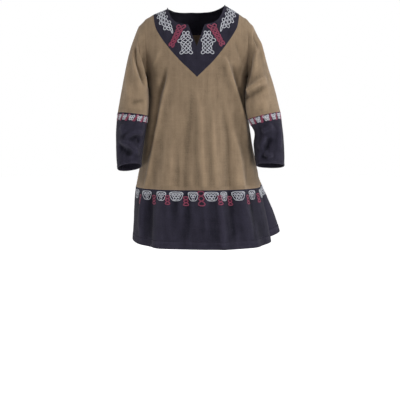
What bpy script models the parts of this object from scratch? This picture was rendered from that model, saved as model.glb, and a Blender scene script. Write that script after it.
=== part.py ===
"""Medieval tunic, worn pose, hollow: khaki body and upper sleeves, dark neck yoke, lower sleeves and hem border.

Metres, +Z up. The front faces -Y and the wearer's left is +X. The origin lies between the two points where
the neckline meets the shoulder line, which is where the wearer's shoulders hold the tunic.
"""

import math

import bmesh
import bpy
import numpy as np

# Driving dimensions
CLOTH = 0.0015  # wall of one layer of cloth
SEAM_GAP = 0.0003  # between two pieces at a seam
ARMPIT_Z = -0.280
ARMHOLE_HALF_WIDTH = 0.200  # centre line to the straight armhole edge
CHEST_SPREAD = 0.100  # how much wider than the armholes the chest rows would run on
BODY_ROUNDNESS = 2.3  # superellipse power of the level sections
SHOULDER_RISE_POWER = 2.2  # superellipse powers of the roll over the shoulder
SHOULDER_DEPTH_POWER = 2.8
NECK_HALF_WIDTH = 0.112
SHOULDER_SLOPE = 0.62  # drop for each metre out from the neck
NECK_DROP = 0.013  # how much lower the neckline sits on the wearer's right shoulder
NECK_DROP_WIDTH = 0.05
SLIT_HALF_WIDTH = 0.032
HEM_BORDER_SEAM_Z = -0.725

# Level sections of the body below the armpits
BODY_COLUMNS = ("z", "half_width", "front", "back", "widest_y", "lean")
BODY_SECTIONS = (
    (-1.020, 0.3010, 0.172, 0.160, 0.060, 0.0305),
    (-0.850, 0.2775, 0.164, 0.150, 0.050, 0.0205),
    (-0.735, 0.2575, 0.157, 0.143, 0.040, 0.0105),
    (-0.640, 0.2380, 0.150, 0.135, 0.030, 0.0090),
    (-0.540, 0.2200, 0.142, 0.126, 0.018, 0.0070),
    (-0.430, 0.2040, 0.135, 0.121, 0.008, 0.0050),
    (-0.360, 0.1945, 0.1315, 0.122, 0.004, 0.0050),
    (-0.280, 0.2000, 0.128, 0.125, 0.000, 0.0050),
    (0.000, 0.2000, 0.128, 0.125, 0.000, 0.0010),
)

# Neck edge of the yoke, from the foot of the slit to the middle of the back
NECK_COLUMNS = ("x", "z", "behind")
NECK_EDGE = (
    (0.000, -0.168, 0),
    (SLIT_HALF_WIDTH / 2, -0.126, 0),
    (SLIT_HALF_WIDTH, -0.084, 0),
    (0.058, -0.079, 0),
    (0.080, -0.067, 0),
    (0.099, -0.042, 0),
    (NECK_HALF_WIDTH, 0.000, 0),
    (0.085, -0.012, 1),
    (0.045, -0.020, 1),
    (0.000, -0.022, 1),
)
# Outer edge of the yoke, from the V tip to the middle of the back
YOKE_COLUMNS = ("x", "z", "behind")
YOKE_EDGE = (
    (0.000, -0.285, 0),
    (0.030, -0.256, 0),
    (0.060, -0.227, 0),
    (0.111, -0.165, 0),
    (0.142, -0.121, 0),
    (0.160, -0.086, 0),
    (0.169, -0.035, 0),
    (0.150, -0.078, 1),
    (0.085, -0.102, 1),
    (0.000, -0.108, 1),
)

# Hem edge against the angle round the body: 0 is the middle of the front, 180 the middle of the back
HEM_COLUMNS = ("angle", "z")
HEM_EDGE = (
    (-180.0, -0.940),
    (-90.0, -0.940),
    (-50.0, -0.955),
    (0.0, -0.958),
    (50.0, -0.956),
    (90.0, -0.943),
    (115.0, -0.932),
    (180.0, -0.940),
)

# Largest folds of the body: centre line from the top to the foot, half width in degrees and depth outwards
FOLD_COLUMNS = ("angle_top", "z_top", "angle_foot", "z_foot", "half_width", "depth")
BODY_FOLDS = (
    (-34.0, -0.26, -52.0, -1.02, 8.0, -0.010),
    (-22.0, -0.26, -35.0, -1.02, 8.0, 0.008),
    (26.0, -0.24, 44.0, -1.02, 8.0, 0.010),
    (40.0, -0.30, 58.0, -1.02, 9.0, -0.009),
    (-8.0, -0.45, -12.0, -1.02, 8.0, -0.006),
    (12.0, -0.50, 16.0, -1.02, 8.0, 0.006),
    (90.0, -0.66, 90.0, -1.02, 9.0, -0.050),
    (116.0, -0.58, 108.0, -0.97, 13.0, 0.056),
    (140.0, -0.66, 132.0, -1.02, 24.0, 0.045),
    (-100.0, -0.60, -98.0, -1.02, 9.0, -0.014),
    (150.0, -0.30, 148.0, -1.02, 11.0, 0.014),
    (168.0, -0.35, 170.0, -1.02, 8.0, -0.010),
    (-152.0, -0.30, -146.0, -1.02, 11.0, 0.014),
    (-170.0, -0.42, -166.0, -1.02, 8.0, -0.009),
    (-124.0, -0.45, -120.0, -1.02, 12.0, -0.012),
)

# Sleeve sections below the armhole: outer and inner point from the front, middle in depth, half depth, and
# how far the front of the section stands above its middle and to the side of it
SLEEVE_COLUMNS = ("out_x", "out_z", "in_x", "in_z", "mid_y", "half_depth", "front_rise", "front_x")
LEFT_SLEEVE = (
    (0.228, -0.080, 0.214, -0.284, 0.000, 0.088, 0.000, 0.000),
    (0.252, -0.132, 0.2065, -0.297, -0.006, 0.087, 0.000, -0.003),
    (0.273, -0.195, 0.202, -0.315, -0.022, 0.085, 0.000, -0.008),
    (0.292, -0.262, 0.1995, -0.340, -0.038, 0.083, 0.000, -0.012),
    (0.315, -0.341, 0.197, -0.389, -0.052, 0.080, 0.002, -0.014),
    (0.334, -0.422, 0.207, -0.452, -0.058, 0.075, 0.004, -0.010),
    (0.342, -0.480, 0.233, -0.500, -0.061, 0.067, 0.007, -0.004),
    (0.347, -0.538, 0.231, -0.550, -0.063, 0.061, 0.010, 0.000),
    (0.350, -0.595, 0.235, -0.600, -0.073, 0.057, 0.012, 0.000),
    (0.350, -0.636, 0.240, -0.632, -0.081, 0.054, 0.013, 0.000),
)
RIGHT_SLEEVE = (
    (-0.228, -0.083, -0.209, -0.284, 0.000, 0.088, 0.000, 0.000),
    (-0.247, -0.128, -0.197, -0.298, -0.006, 0.087, 0.000, 0.003),
    (-0.264, -0.182, -0.1915, -0.318, -0.022, 0.085, 0.000, 0.008),
    (-0.280, -0.254, -0.189, -0.341, -0.038, 0.083, 0.000, 0.012),
    (-0.298, -0.352, -0.187, -0.391, -0.053, 0.080, 0.002, 0.014),
    (-0.309, -0.424, -0.191, -0.438, -0.060, 0.074, 0.004, 0.012),
    (-0.315, -0.480, -0.1995, -0.492, -0.066, 0.067, 0.008, 0.008),
    (-0.317, -0.540, -0.2075, -0.545, -0.070, 0.060, 0.012, 0.004),
    (-0.316, -0.598, -0.214, -0.598, -0.082, 0.055, 0.015, 0.002),
    (-0.311, -0.646, -0.216, -0.633, -0.092, 0.052, 0.017, 0.000),
)
SLEEVE_SEAM_SECTION = 6  # where the dark lower sleeve is sewn to the upper one, counted from the armhole
SLEEVE_SECTION_LENGTH = 0.05  # how far apart the sections are at that seam
SLEEVE_ROUNDNESS = 2.2

# Mesh density
BODY_COLUMNS_EACH_SIDE = 13
BODY_ROWS = 8
HEM_ROWS = 4
YOKE_ROWS = 4
ARMHOLE_STEPS = 12  # from the armpit to the shoulder, on the front and on the back
YOKE_BACK_STEPS = 10
SLEEVE_STEPS = 1.5  # rows for each section of the table
SHARPEST_MITRE = 0.35  # cosine that limits how far the wall reaches into a sharp crease

KHAKI = ("khaki_cloth", (0.190, 0.135, 0.090), 0.92)
DARK = ("dark_cloth", (0.027, 0.025, 0.037), 0.90)

SIDE_SEAM_REACH = 1.0  # degrees from the side seam within which a point is on its edge
DIFFERENCE = 1e-4  # step for slopes, as a share of each parameter's range
TINY = 1e-12  # shortest length that a vector is divided by
WELD_DISTANCE = 1e-6  # points nearer than this are one point
SHARP_EDGE = 50.0  # degrees between two faces above which their edge stays sharp
FOLD_EASE = 1.5  # power with which a fold grows from its top to its foot


# Form of the body

def column(rows, names, name):
    return np.array([row[names.index(name)] for row in rows])


def smooth(keys, values, at):
    """Values between the keys of a short table, with even slopes."""
    order = np.argsort(keys)
    keys, values = keys[order], values[order]
    slopes = np.gradient(values, keys)
    at = np.clip(at, keys[0], keys[-1])
    i = np.clip(np.searchsorted(keys, at) - 1, 0, len(keys) - 2)
    span = keys[i + 1] - keys[i]
    t = (at - keys[i]) / span
    start = values[i] * (1 + 2 * t) * (1 - t) ** 2 + slopes[i] * span * t * (1 - t) ** 2
    end = values[i + 1] * (3 - 2 * t) * t ** 2 - slopes[i + 1] * span * (1 - t) * t ** 2
    return start + end


def body_size(name, z):
    return smooth(column(BODY_SECTIONS, BODY_COLUMNS, "z"), column(BODY_SECTIONS, BODY_COLUMNS, name), z)


def shoulder_z(x):
    """Height of the shoulder line at a distance from the centre line."""
    drop = NECK_DROP * np.exp(-(((x + NECK_HALF_WIDTH) / NECK_DROP_WIDTH) ** 2))
    return -SHOULDER_SLOPE * np.maximum(np.abs(x) - NECK_HALF_WIDTH, 0) - drop


def row_half_width(level):
    """Half width of a level section: below the armpits the table's, above them the chest row's."""
    lift = np.sin(np.clip(level, 0, 1) * math.pi / 2)
    return body_size("half_width", ARMPIT_Z + np.minimum(level, 0)) + CHEST_SPREAD * lift


def edge_angle(level):
    """Angle round the body where a row ends, at the side seam or at the armhole."""
    share = ARMHOLE_HALF_WIDTH / row_half_width(level)
    armhole = np.degrees(np.arcsin(np.minimum(share, 1) ** (BODY_ROUNDNESS / 2)))
    return np.where(level > 0, armhole, 90.0)


def plain_body_point(angle, level):
    """A point of the smooth body. The angle is 0 at the middle of the front and 180 at the middle of the back.

    The level is metres from the armpits where it is below 0, runs from 0 to 1 up to the shoulder line, and
    from 1 to 2 down the far side of it."""
    angle, level = np.broadcast_arrays(np.asarray(angle, float), np.asarray(level, float))
    over = level > 1
    angle = np.where(over, np.copysign(180 - np.abs(angle), angle), angle)
    level = np.where(over, 2 - level, level)
    turn = np.radians(angle)
    lift = np.clip(level, 0, 1) * math.pi / 2
    low_z = ARMPIT_Z + np.minimum(level, 0)
    across = np.abs(np.sin(turn)) ** (2 / BODY_ROUNDNESS)
    deep = np.abs(np.cos(turn)) ** (2 / BODY_ROUNDNESS)
    depth_left = np.abs(np.cos(lift)) ** (2 / SHOULDER_DEPTH_POWER)
    widest = body_size("widest_y", low_z)
    x = np.sign(np.sin(turn)) * row_half_width(level) * across
    front = widest - (body_size("front", low_z) + widest) * depth_left * deep
    back = widest + (body_size("back", low_z) - widest) * depth_left * deep
    risen = np.sin(lift) ** (2 / SHOULDER_RISE_POWER)
    z = np.where(level > 0, ARMPIT_Z + (shoulder_z(x) - ARMPIT_Z) * risen, low_z)
    y = np.where(np.cos(turn) >= 0, front, back)
    return np.stack([x + body_size("lean", z), y, z], axis=-1)


def fold_height(angle, z):
    """How far the folds push the cloth out at an angle and a height."""
    out = np.zeros(np.broadcast(angle, z).shape)
    for row in BODY_FOLDS:
        top_angle, top_z, foot_angle, foot_z, half_width, depth = row
        run = np.clip((top_z - z) / (top_z - foot_z), 0, 1)
        middle = top_angle + (foot_angle - top_angle) * run
        off = (angle - middle + 180) % 360 - 180
        out = out + depth * np.sin(run * math.pi / 2) ** FOLD_EASE * np.exp(-((off / half_width) ** 2))
    return out


def unit(vectors):
    return vectors / np.maximum(np.linalg.norm(vectors, axis=-1, keepdims=True), TINY)


def slopes(place, first, second, first_range, second_range):
    """Unit normals of a surface from small steps in its two parameters."""
    a, b = DIFFERENCE * first_range, DIFFERENCE * second_range
    along = place(first + a, second) - place(first - a, second)
    up = place(first, second + b) - place(first, second - b)
    return unit(np.cross(along, up))


def body_normal(angle, level):
    return slopes(plain_body_point, np.asarray(angle, float), np.asarray(level, float), 90.0, 1.0)


def body_point(angle, level):
    """A point of the body's cloth with its folds."""
    point = plain_body_point(angle, level)
    out = fold_height(np.asarray(angle, float), point[..., 2])
    return point + body_normal(angle, level) * out[..., None]


def body_cloth(angle, level):
    """Outer and inner points of the body's cloth. The two edges of a side seam share the seam's normal."""
    angle, level = np.broadcast_arrays(np.asarray(angle, float), np.asarray(level, float))
    outer = body_point(angle, level)
    at_side_seam = np.abs(np.abs(angle) - 90) < SIDE_SEAM_REACH
    normal = slopes(body_point, np.where(at_side_seam, np.copysign(90, angle), angle), level, 90.0, 1.0)
    return outer, outer - CLOTH * normal


def on_body(x, z, behind):
    """Angle and level of the body's point at x and z, seen from the front or, where behind is true, the back."""
    high = (z - ARMPIT_Z) / (shoulder_z(x) - ARMPIT_Z)
    lift = np.arcsin(np.clip(high, 0, 1) ** (SHOULDER_RISE_POWER / 2))
    level = np.where(z > ARMPIT_Z, lift / (math.pi / 2), z - ARMPIT_Z)
    share = np.minimum(np.abs(x) / row_half_width(level), 1)
    angle = np.degrees(np.arcsin(share ** (BODY_ROUNDNESS / 2)))
    return angle, np.where(behind, 2 - level, level)


def edge_line(rows, names):
    """Angles and levels along an edge of the yoke, from the middle of the front to the middle of the back."""
    x, z, behind = (column(rows, names, name) for name in names)
    top = int(np.sum(behind == 0)) - 1
    front_at = np.linspace(0, top, ARMHOLE_STEPS + 1)
    back_at = np.linspace(top, len(rows) - 1, YOKE_BACK_STEPS + 1)[1:]
    at = np.concatenate([front_at, back_at])
    index = np.arange(len(rows), dtype=float)
    across = np.interp(at, index, x)
    up = np.interp(at, index, z)
    past_top = np.arange(len(at)) > ARMHOLE_STEPS
    return on_body(across, up, past_top)


# Armholes and sleeves

def armhole_turns(behind):
    """Turns round the armhole from the armpit to the shoulder: 0 is the shoulder and 90 the front."""
    return np.linspace(180, 360 if behind else 0, ARMHOLE_STEPS + 1)


def armhole_point(around, side):
    """Angle and level on the body of a point of the armhole edge."""
    turn = np.radians(around)
    high = (1 + np.cos(turn)) / 2
    level = np.arcsin(high ** (SHOULDER_RISE_POWER / 2)) / (math.pi / 2)
    angle = edge_angle(level)
    return side * np.where(np.sin(turn) >= 0, angle, 180 - angle), level


def armhole_edge(around, side):
    return body_point(*armhole_point(around, side))


def sleeve_section(rows, name, at):
    values = column(rows, SLEEVE_COLUMNS, name)
    return smooth(np.arange(1, len(rows) + 1, dtype=float), values, at)


def sleeve_ring(rows, around, at):
    """A point of a sleeve's section: at counts the sections down from the armhole, and the table starts at 1."""
    turn = np.radians(around)
    size = {name: sleeve_section(rows, name, np.maximum(at, 1)) for name in SLEEVE_COLUMNS}
    power = 2 / SLEEVE_ROUNDNESS
    across = np.sign(np.cos(turn)) * np.abs(np.cos(turn)) ** power
    deep = np.sign(np.sin(turn)) * np.abs(np.sin(turn)) ** power
    x = (size["out_x"] + size["in_x"]) / 2 + (size["out_x"] - size["in_x"]) / 2 * across
    z = (size["out_z"] + size["in_z"]) / 2 + (size["out_z"] - size["in_z"]) / 2 * across
    y = size["mid_y"] - size["half_depth"] * deep
    return np.stack([x + size["front_x"] * deep, y, z + size["front_rise"] * deep], axis=-1)


def armhole_mitre(rows, around, side):
    """From the armhole edge to the inside of the cloth, for panel and sleeve alike, and from panel to sleeve."""
    around = np.asarray(around, float)
    body = slopes(body_point, *armhole_point(around, side), 90.0, 1.0)
    step = 360 * DIFFERENCE
    along = armhole_edge(around + step, side) - armhole_edge(around - step, side)
    out = sleeve_ring(rows, around, np.ones_like(around)) - armhole_edge(around, side)
    sleeve = unit(side * np.cross(along, out))
    middle = unit(body + sleeve)
    reach = CLOTH / np.maximum(np.sum(middle * body, axis=-1, keepdims=True), SHARPEST_MITRE)
    across = unit(np.cross(middle, along))
    across = across * np.sign(np.sum(across * out, axis=-1, keepdims=True))
    return middle * reach, across * SEAM_GAP


def sleeve_point(rows, side, around, at):
    """A point of a sleeve. The armhole is at 0, and the sleeve runs straight from there to its first section."""
    around, at = np.broadcast_arrays(np.asarray(around, float), np.asarray(at, float))
    _, clear = armhole_mitre(rows, around, side)
    hole = armhole_edge(around, side) + clear
    share = np.clip(at, 0, 1)[..., None]
    return hole + (sleeve_ring(rows, around, at) - hole) * share


def sleeve_cloth(rows, side, around, at):
    """Outer and inner points of a sleeve's cloth."""
    def place(first, second):
        return sleeve_point(rows, side, first, second)

    outer = place(around, at)
    normal = side * slopes(place, around, np.maximum(at, 10 * DIFFERENCE), 360.0, 10.0)
    mitre, _ = armhole_mitre(rows, around, side)
    return outer, outer - np.where((at <= 0)[..., None], mitre, CLOTH * normal)


# Solids

def material(kind):
    name, colour, roughness = kind
    made = bpy.data.materials.get(name) or bpy.data.materials.new(name)
    made.use_nodes = True
    shader = made.node_tree.nodes["Principled BSDF"]
    shader.inputs["Base Color"].default_value = (*colour, 1)
    shader.inputs["Roughness"].default_value = roughness
    shader.inputs["Metallic"].default_value = 0.0
    return made


def sheet(name, grids, kind, parts):
    """One piece of cloth. Each grid is a pair of arrays of outer and inner points; grids that share an edge
    are welded there, and the wall is extruded from the outer faces to the inner points."""
    bm = bmesh.new()
    tag = bm.verts.layers.int.new("point")
    inner_points = []
    for outer, inner in grids:
        rows, columns = outer.shape[:2]
        made = bmesh.ops.create_grid(bm, x_segments=columns - 1, y_segments=rows - 1, size=0.5)["verts"]
        for vert in made:
            i = round((vert.co.y + 0.5) * (rows - 1))
            j = round((vert.co.x + 0.5) * (columns - 1))
            vert.co = outer[i, j]
            vert[tag] = len(inner_points)
            inner_points.append(inner[i, j])
    bmesh.ops.remove_doubles(bm, verts=bm.verts[:], dist=WELD_DISTANCE)
    shell = bmesh.ops.extrude_face_region(bm, geom=bm.faces[:], use_keep_orig=True)
    for item in shell["geom"]:
        if isinstance(item, bmesh.types.BMVert):
            item.co = inner_points[item[tag]]
    bmesh.ops.triangulate(bm, faces=bm.faces[:], quad_method="SHORT_EDGE")
    bmesh.ops.recalc_face_normals(bm, faces=bm.faces[:])
    mesh = bpy.data.meshes.new(name)
    bm.to_mesh(mesh)
    bm.free()
    mesh.shade_smooth()
    mesh.set_sharp_from_angle(angle=math.radians(SHARP_EDGE))
    mesh.materials.append(material(kind))
    made = bpy.data.objects.new(name, mesh)
    parts.objects.link(made)
    return made


def side_seam_step(level):
    """Degrees from the side seam to the edge of a piece, for half a seam gap."""
    depth = body_size("front", ARMPIT_Z + np.minimum(level, 0))
    return math.degrees(1) * (SEAM_GAP / 2 / depth) ** (BODY_ROUNDNESS / 2)


def between(inner, outer, steps):
    """Rows of a grid from inner edge values to outer edge values."""
    share = np.linspace(0, 1, steps + 1)
    return inner[:, None] + (outer - inner)[:, None] * share


def filled(foot, top, centre, side):
    """A grid of values between its four edges: rows run from foot to top and columns from centre to side."""
    up = np.linspace(0, 1, len(centre))[:, None]
    out = np.linspace(0, 1, len(foot))[None, :]
    rows = foot[None, :] * (1 - up) + top[None, :] * up
    columns = centre[:, None] * (1 - out) + side[:, None] * out
    low = foot[0] * (1 - out) + foot[-1] * out
    high = top[0] * (1 - out) + top[-1] * out
    return rows + columns - low * (1 - up) - high * up


def panel_grid(behind):
    """Angles and levels of the left half of the front or back panel, from the hem seam to the shoulder."""
    steps = BODY_COLUMNS_EACH_SIDE
    middle, to_side = (180.0, 1) if behind else (0.0, -1)
    seam_level = HEM_BORDER_SEAM_Z + SEAM_GAP / 2 - ARMPIT_Z
    low_levels = np.linspace(seam_level, 0, BODY_ROWS + 1)
    low_angles = between(np.full(BODY_ROWS + 1, middle), 90 + to_side * side_seam_step(low_levels), steps)
    shoulder_level = 1 - (SEAM_GAP / ARMHOLE_HALF_WIDTH) ** (SHOULDER_DEPTH_POWER / 2)
    side_angles, side_levels = armhole_point(armhole_turns(behind), 1)
    side_angles[0] = low_angles[-1, -1]
    yoke_angles, yoke_levels = edge_line(YOKE_EDGE, YOKE_COLUMNS)
    if behind:
        yoke_angles = 180 - yoke_angles[ARMHOLE_STEPS:][::-1]
        yoke_levels = 2 - yoke_levels[ARMHOLE_STEPS:][::-1]
        centre_angles = np.full(ARMHOLE_STEPS + 1, middle)
        centre_levels = np.linspace(0, yoke_levels[0], ARMHOLE_STEPS + 1)
        on_shoulder = np.linspace(yoke_angles[-1], side_angles[-1], steps - YOKE_BACK_STEPS + 1)
        top_angles = np.concatenate([yoke_angles, on_shoulder[1:]])
        top_levels = np.concatenate([yoke_levels, np.ones(steps - YOKE_BACK_STEPS)])
    else:
        centre_angles = yoke_angles[: ARMHOLE_STEPS + 1]
        centre_levels = yoke_levels[: ARMHOLE_STEPS + 1]
        top_angles = np.linspace(centre_angles[-1], side_angles[-1], steps + 1)
        top_levels = np.ones(steps + 1)
    foot_levels = np.linspace(centre_levels[0], 0, steps + 1)
    high_angles = filled(low_angles[-1], top_angles, centre_angles, side_angles)
    high_levels = filled(foot_levels, top_levels, centre_levels, side_levels)
    angle = np.concatenate([low_angles[:-1], high_angles])
    level = np.concatenate([np.repeat(low_levels[:-1, None], steps + 1, axis=1), high_levels])
    return angle, np.minimum(level, shoulder_level)


def build_panel(name, behind, parts):
    angle, level = panel_grid(behind)
    grids = []
    for side, rows in ((1, LEFT_SLEEVE), (-1, RIGHT_SLEEVE)):
        outer, inner = body_cloth(side * angle, level)
        mitre, _ = armhole_mitre(rows, armhole_turns(behind), side)
        inner[BODY_ROWS:, -1] = outer[BODY_ROWS:, -1] - mitre
        grids.append((outer, inner))
    return sheet(name, grids, KHAKI, parts)


def yoke_clearance(edge, inside):
    """Moves that draw an edge line back from its seam, square to the line, or down the middle at its ends."""
    along = unit(np.gradient(edge, axis=0))
    back = inside - edge
    square = unit(back - along * np.sum(back * along, axis=-1, keepdims=True))
    move = square.copy()
    move[[0, -1], 0] = 0
    move = unit(move)
    return SEAM_GAP * move / np.sum(move * square, axis=-1, keepdims=True)


def build_yoke(parts):
    """The neck yoke, from the neck edge out to the panels' edge, on both sides of the centre line."""
    neck_angle, neck_level = edge_line(NECK_EDGE, NECK_COLUMNS)
    out_angle, out_level = edge_line(YOKE_EDGE, YOKE_COLUMNS)
    angle = between(neck_angle, out_angle, YOKE_ROWS)
    level = between(neck_level, out_level, YOKE_ROWS)
    grids = []
    for side in (1, -1):
        outer, inner = body_cloth(side * angle, level)
        clear = yoke_clearance(outer[:, -1], outer[:, -2])
        outer[:, -1] += clear
        inner[:, -1] += clear
        grids.append((outer, inner))
    return sheet("neck_yoke", grids, DARK, parts)


def hem_z(angle):
    return smooth(column(HEM_EDGE, HEM_COLUMNS, "angle"), column(HEM_EDGE, HEM_COLUMNS, "z"), angle)


def build_hem(name, behind, parts):
    """Half of the dark hem border, from side seam to side seam."""
    top = HEM_BORDER_SEAM_Z - SEAM_GAP / 2
    edge = 90.0 - float(side_seam_step(top - ARMPIT_Z))
    columns = 2 * BODY_COLUMNS_EACH_SIDE
    angle = np.linspace(-edge, edge, columns + 1) + (180.0 if behind else 0.0)
    share = np.linspace(0, 1, HEM_ROWS + 1)
    wrapped = (angle + 180) % 360 - 180
    z = top + (hem_z(wrapped) - top)[None, :] * share[:, None]
    grid = body_cloth(np.broadcast_to(wrapped, z.shape), z - ARMPIT_Z)
    return sheet(name, [grid], DARK, parts)


def build_sleeve(name, rows, side, first, last, kind, parts):
    steps = round((last - first) * SLEEVE_STEPS)
    at = np.linspace(first, last, steps + 1)[:, None]
    around = np.linspace(0, 360, 2 * ARMHOLE_STEPS + 1)[None, :] + 0 * at
    around[:, -1] = 0
    grid = sleeve_cloth(rows, side, around, at + 0 * around)
    return sheet(name, [grid], kind, parts)


def build_sleeves(parts):
    half_gap = SEAM_GAP / 2 / SLEEVE_SECTION_LENGTH
    for word, rows, side in (("left", LEFT_SLEEVE, 1), ("right", RIGHT_SLEEVE, -1)):
        seam, cuff = SLEEVE_SEAM_SECTION, len(rows)
        build_sleeve(f"sleeve_{word}_upper", rows, side, 0.0, seam - half_gap, KHAKI, parts)
        build_sleeve(f"sleeve_{word}_lower", rows, side, seam + half_gap, cuff, DARK, parts)


def main():
    for old in list(bpy.data.objects):
        bpy.data.objects.remove(old)
    parts = bpy.data.collections.new("medieval_tunic")
    bpy.context.scene.collection.children.link(parts)
    build_panel("front_panel", False, parts)
    build_panel("back_panel", True, parts)
    build_yoke(parts)
    build_hem("hem_front", False, parts)
    build_hem("hem_back", True, parts)
    build_sleeves(parts)


main()
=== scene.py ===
import functools
import math

import bpy
import numpy as np
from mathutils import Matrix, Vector
from mathutils.bvhtree import BVHTree
from mathutils.kdtree import KDTree


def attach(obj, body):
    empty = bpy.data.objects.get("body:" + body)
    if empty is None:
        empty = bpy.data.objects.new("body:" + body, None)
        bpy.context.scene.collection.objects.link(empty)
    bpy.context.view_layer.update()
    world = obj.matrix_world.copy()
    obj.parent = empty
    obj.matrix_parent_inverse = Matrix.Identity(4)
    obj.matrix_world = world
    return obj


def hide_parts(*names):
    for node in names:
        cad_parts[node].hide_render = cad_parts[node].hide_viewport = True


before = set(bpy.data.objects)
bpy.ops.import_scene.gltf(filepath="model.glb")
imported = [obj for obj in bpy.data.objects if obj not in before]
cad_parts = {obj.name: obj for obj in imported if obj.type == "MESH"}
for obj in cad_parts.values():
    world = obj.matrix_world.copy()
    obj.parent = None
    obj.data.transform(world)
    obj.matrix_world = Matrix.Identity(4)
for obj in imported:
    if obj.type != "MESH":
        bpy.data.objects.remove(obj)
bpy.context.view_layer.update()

# Form of the part, in metres, the same as in the CAD source
SEAM_GAP = 0.00004  # the cloth meets more closely than the solids do
ARMPIT_Z = -0.280
ARMHOLE_HALF_WIDTH = 0.200
CHEST_SPREAD = 0.100
BODY_ROUNDNESS = 2.3
SHOULDER_RISE_POWER = 2.2
SHOULDER_DEPTH_POWER = 2.8
NECK_HALF_WIDTH = 0.112
SHOULDER_SLOPE = 0.62
NECK_DROP = 0.013  # how much lower the neckline sits on the wearer's right shoulder
NECK_DROP_WIDTH = 0.05
SLIT_HALF_WIDTH = 0.032
HEM_BORDER_SEAM_Z = -0.725

BODY_MIDDLE_X, BODY_MIDDLE_TOP = 0.006, -0.2  # line that the body's cloth faces away from

BODY_COLUMNS = ("z", "half_width", "front", "back", "widest_y", "lean")
BODY_SECTIONS = (
    (-1.020, 0.3010, 0.172, 0.160, 0.060, 0.0305),
    (-0.850, 0.2775, 0.164, 0.150, 0.050, 0.0205),
    (-0.735, 0.2575, 0.157, 0.143, 0.040, 0.0105),
    (-0.640, 0.2380, 0.150, 0.135, 0.030, 0.0090),
    (-0.540, 0.2200, 0.142, 0.126, 0.018, 0.0070),
    (-0.430, 0.2040, 0.135, 0.121, 0.008, 0.0050),
    (-0.360, 0.1945, 0.1315, 0.122, 0.004, 0.0050),
    (-0.280, 0.2000, 0.128, 0.125, 0.000, 0.0050),
    (0.000, 0.2000, 0.128, 0.125, 0.000, 0.0010),
)
# Edges of the yoke, from the middle of the front to the middle of the back: x, z, behind
SHOULDER_ROW = 6  # row of both tables that lies on the shoulder line
SLIT_ROW = 2  # row of the neck edge where the slit meets the neckline
NECK_EDGE = (
    (0.000, -0.168, 0),
    (SLIT_HALF_WIDTH / 2, -0.126, 0),
    (SLIT_HALF_WIDTH, -0.084, 0),
    (0.058, -0.079, 0),
    (0.080, -0.067, 0),
    (0.099, -0.042, 0),
    (NECK_HALF_WIDTH, 0.000, 0),
    (0.085, -0.012, 1),
    (0.045, -0.020, 1),
    (0.000, -0.022, 1),
)
YOKE_EDGE = (
    (0.000, -0.285, 0),
    (0.030, -0.256, 0),
    (0.060, -0.227, 0),
    (0.111, -0.165, 0),
    (0.142, -0.121, 0),
    (0.160, -0.086, 0),
    (0.169, -0.035, 0),
    (0.150, -0.078, 1),
    (0.085, -0.102, 1),
    (0.000, -0.108, 1),
)
HEM_EDGE = (
    (-180.0, -0.940),
    (-90.0, -0.940),
    (-50.0, -0.955),
    (0.0, -0.958),
    (50.0, -0.956),
    (90.0, -0.943),
    (115.0, -0.932),
    (180.0, -0.940),
)
# Largest folds: angle and z of the top, angle and z of the foot, half width in degrees, depth outwards
BODY_FOLDS = (
    (-34.0, -0.26, -52.0, -1.02, 8.0, -0.010),
    (-22.0, -0.26, -35.0, -1.02, 8.0, 0.008),
    (26.0, -0.24, 44.0, -1.02, 8.0, 0.010),
    (40.0, -0.30, 58.0, -1.02, 9.0, -0.009),
    (-8.0, -0.45, -12.0, -1.02, 8.0, -0.006),
    (12.0, -0.50, 16.0, -1.02, 8.0, 0.006),
    (90.0, -0.66, 90.0, -1.02, 9.0, -0.050),
    (116.0, -0.58, 108.0, -0.97, 13.0, 0.056),
    (140.0, -0.66, 132.0, -1.02, 24.0, 0.045),
    (-100.0, -0.60, -98.0, -1.02, 9.0, -0.014),
    (150.0, -0.30, 148.0, -1.02, 11.0, 0.014),
    (168.0, -0.35, 170.0, -1.02, 8.0, -0.010),
    (-152.0, -0.30, -146.0, -1.02, 11.0, 0.014),
    (-170.0, -0.42, -166.0, -1.02, 8.0, -0.009),
    (-124.0, -0.45, -120.0, -1.02, 12.0, -0.012),
)
FOLD_POWER = 1.5  # how a fold deepens on its way down
SLEEVE_COLUMNS = ("out_x", "out_z", "in_x", "in_z", "mid_y", "half_depth", "front_rise", "front_x")
LEFT_SLEEVE = (
    (0.228, -0.080, 0.214, -0.284, 0.000, 0.088, 0.000, 0.000),
    (0.252, -0.132, 0.2065, -0.297, -0.006, 0.087, 0.000, -0.003),
    (0.273, -0.195, 0.202, -0.315, -0.022, 0.085, 0.000, -0.008),
    (0.292, -0.262, 0.1995, -0.340, -0.038, 0.083, 0.000, -0.012),
    (0.315, -0.341, 0.197, -0.389, -0.052, 0.080, 0.002, -0.014),
    (0.334, -0.422, 0.207, -0.452, -0.058, 0.075, 0.004, -0.010),
    (0.342, -0.480, 0.233, -0.500, -0.061, 0.067, 0.007, -0.004),
    (0.347, -0.538, 0.231, -0.550, -0.063, 0.061, 0.010, 0.000),
    (0.350, -0.595, 0.235, -0.600, -0.073, 0.057, 0.012, 0.000),
    (0.350, -0.636, 0.240, -0.632, -0.081, 0.054, 0.013, 0.000),
)
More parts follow.
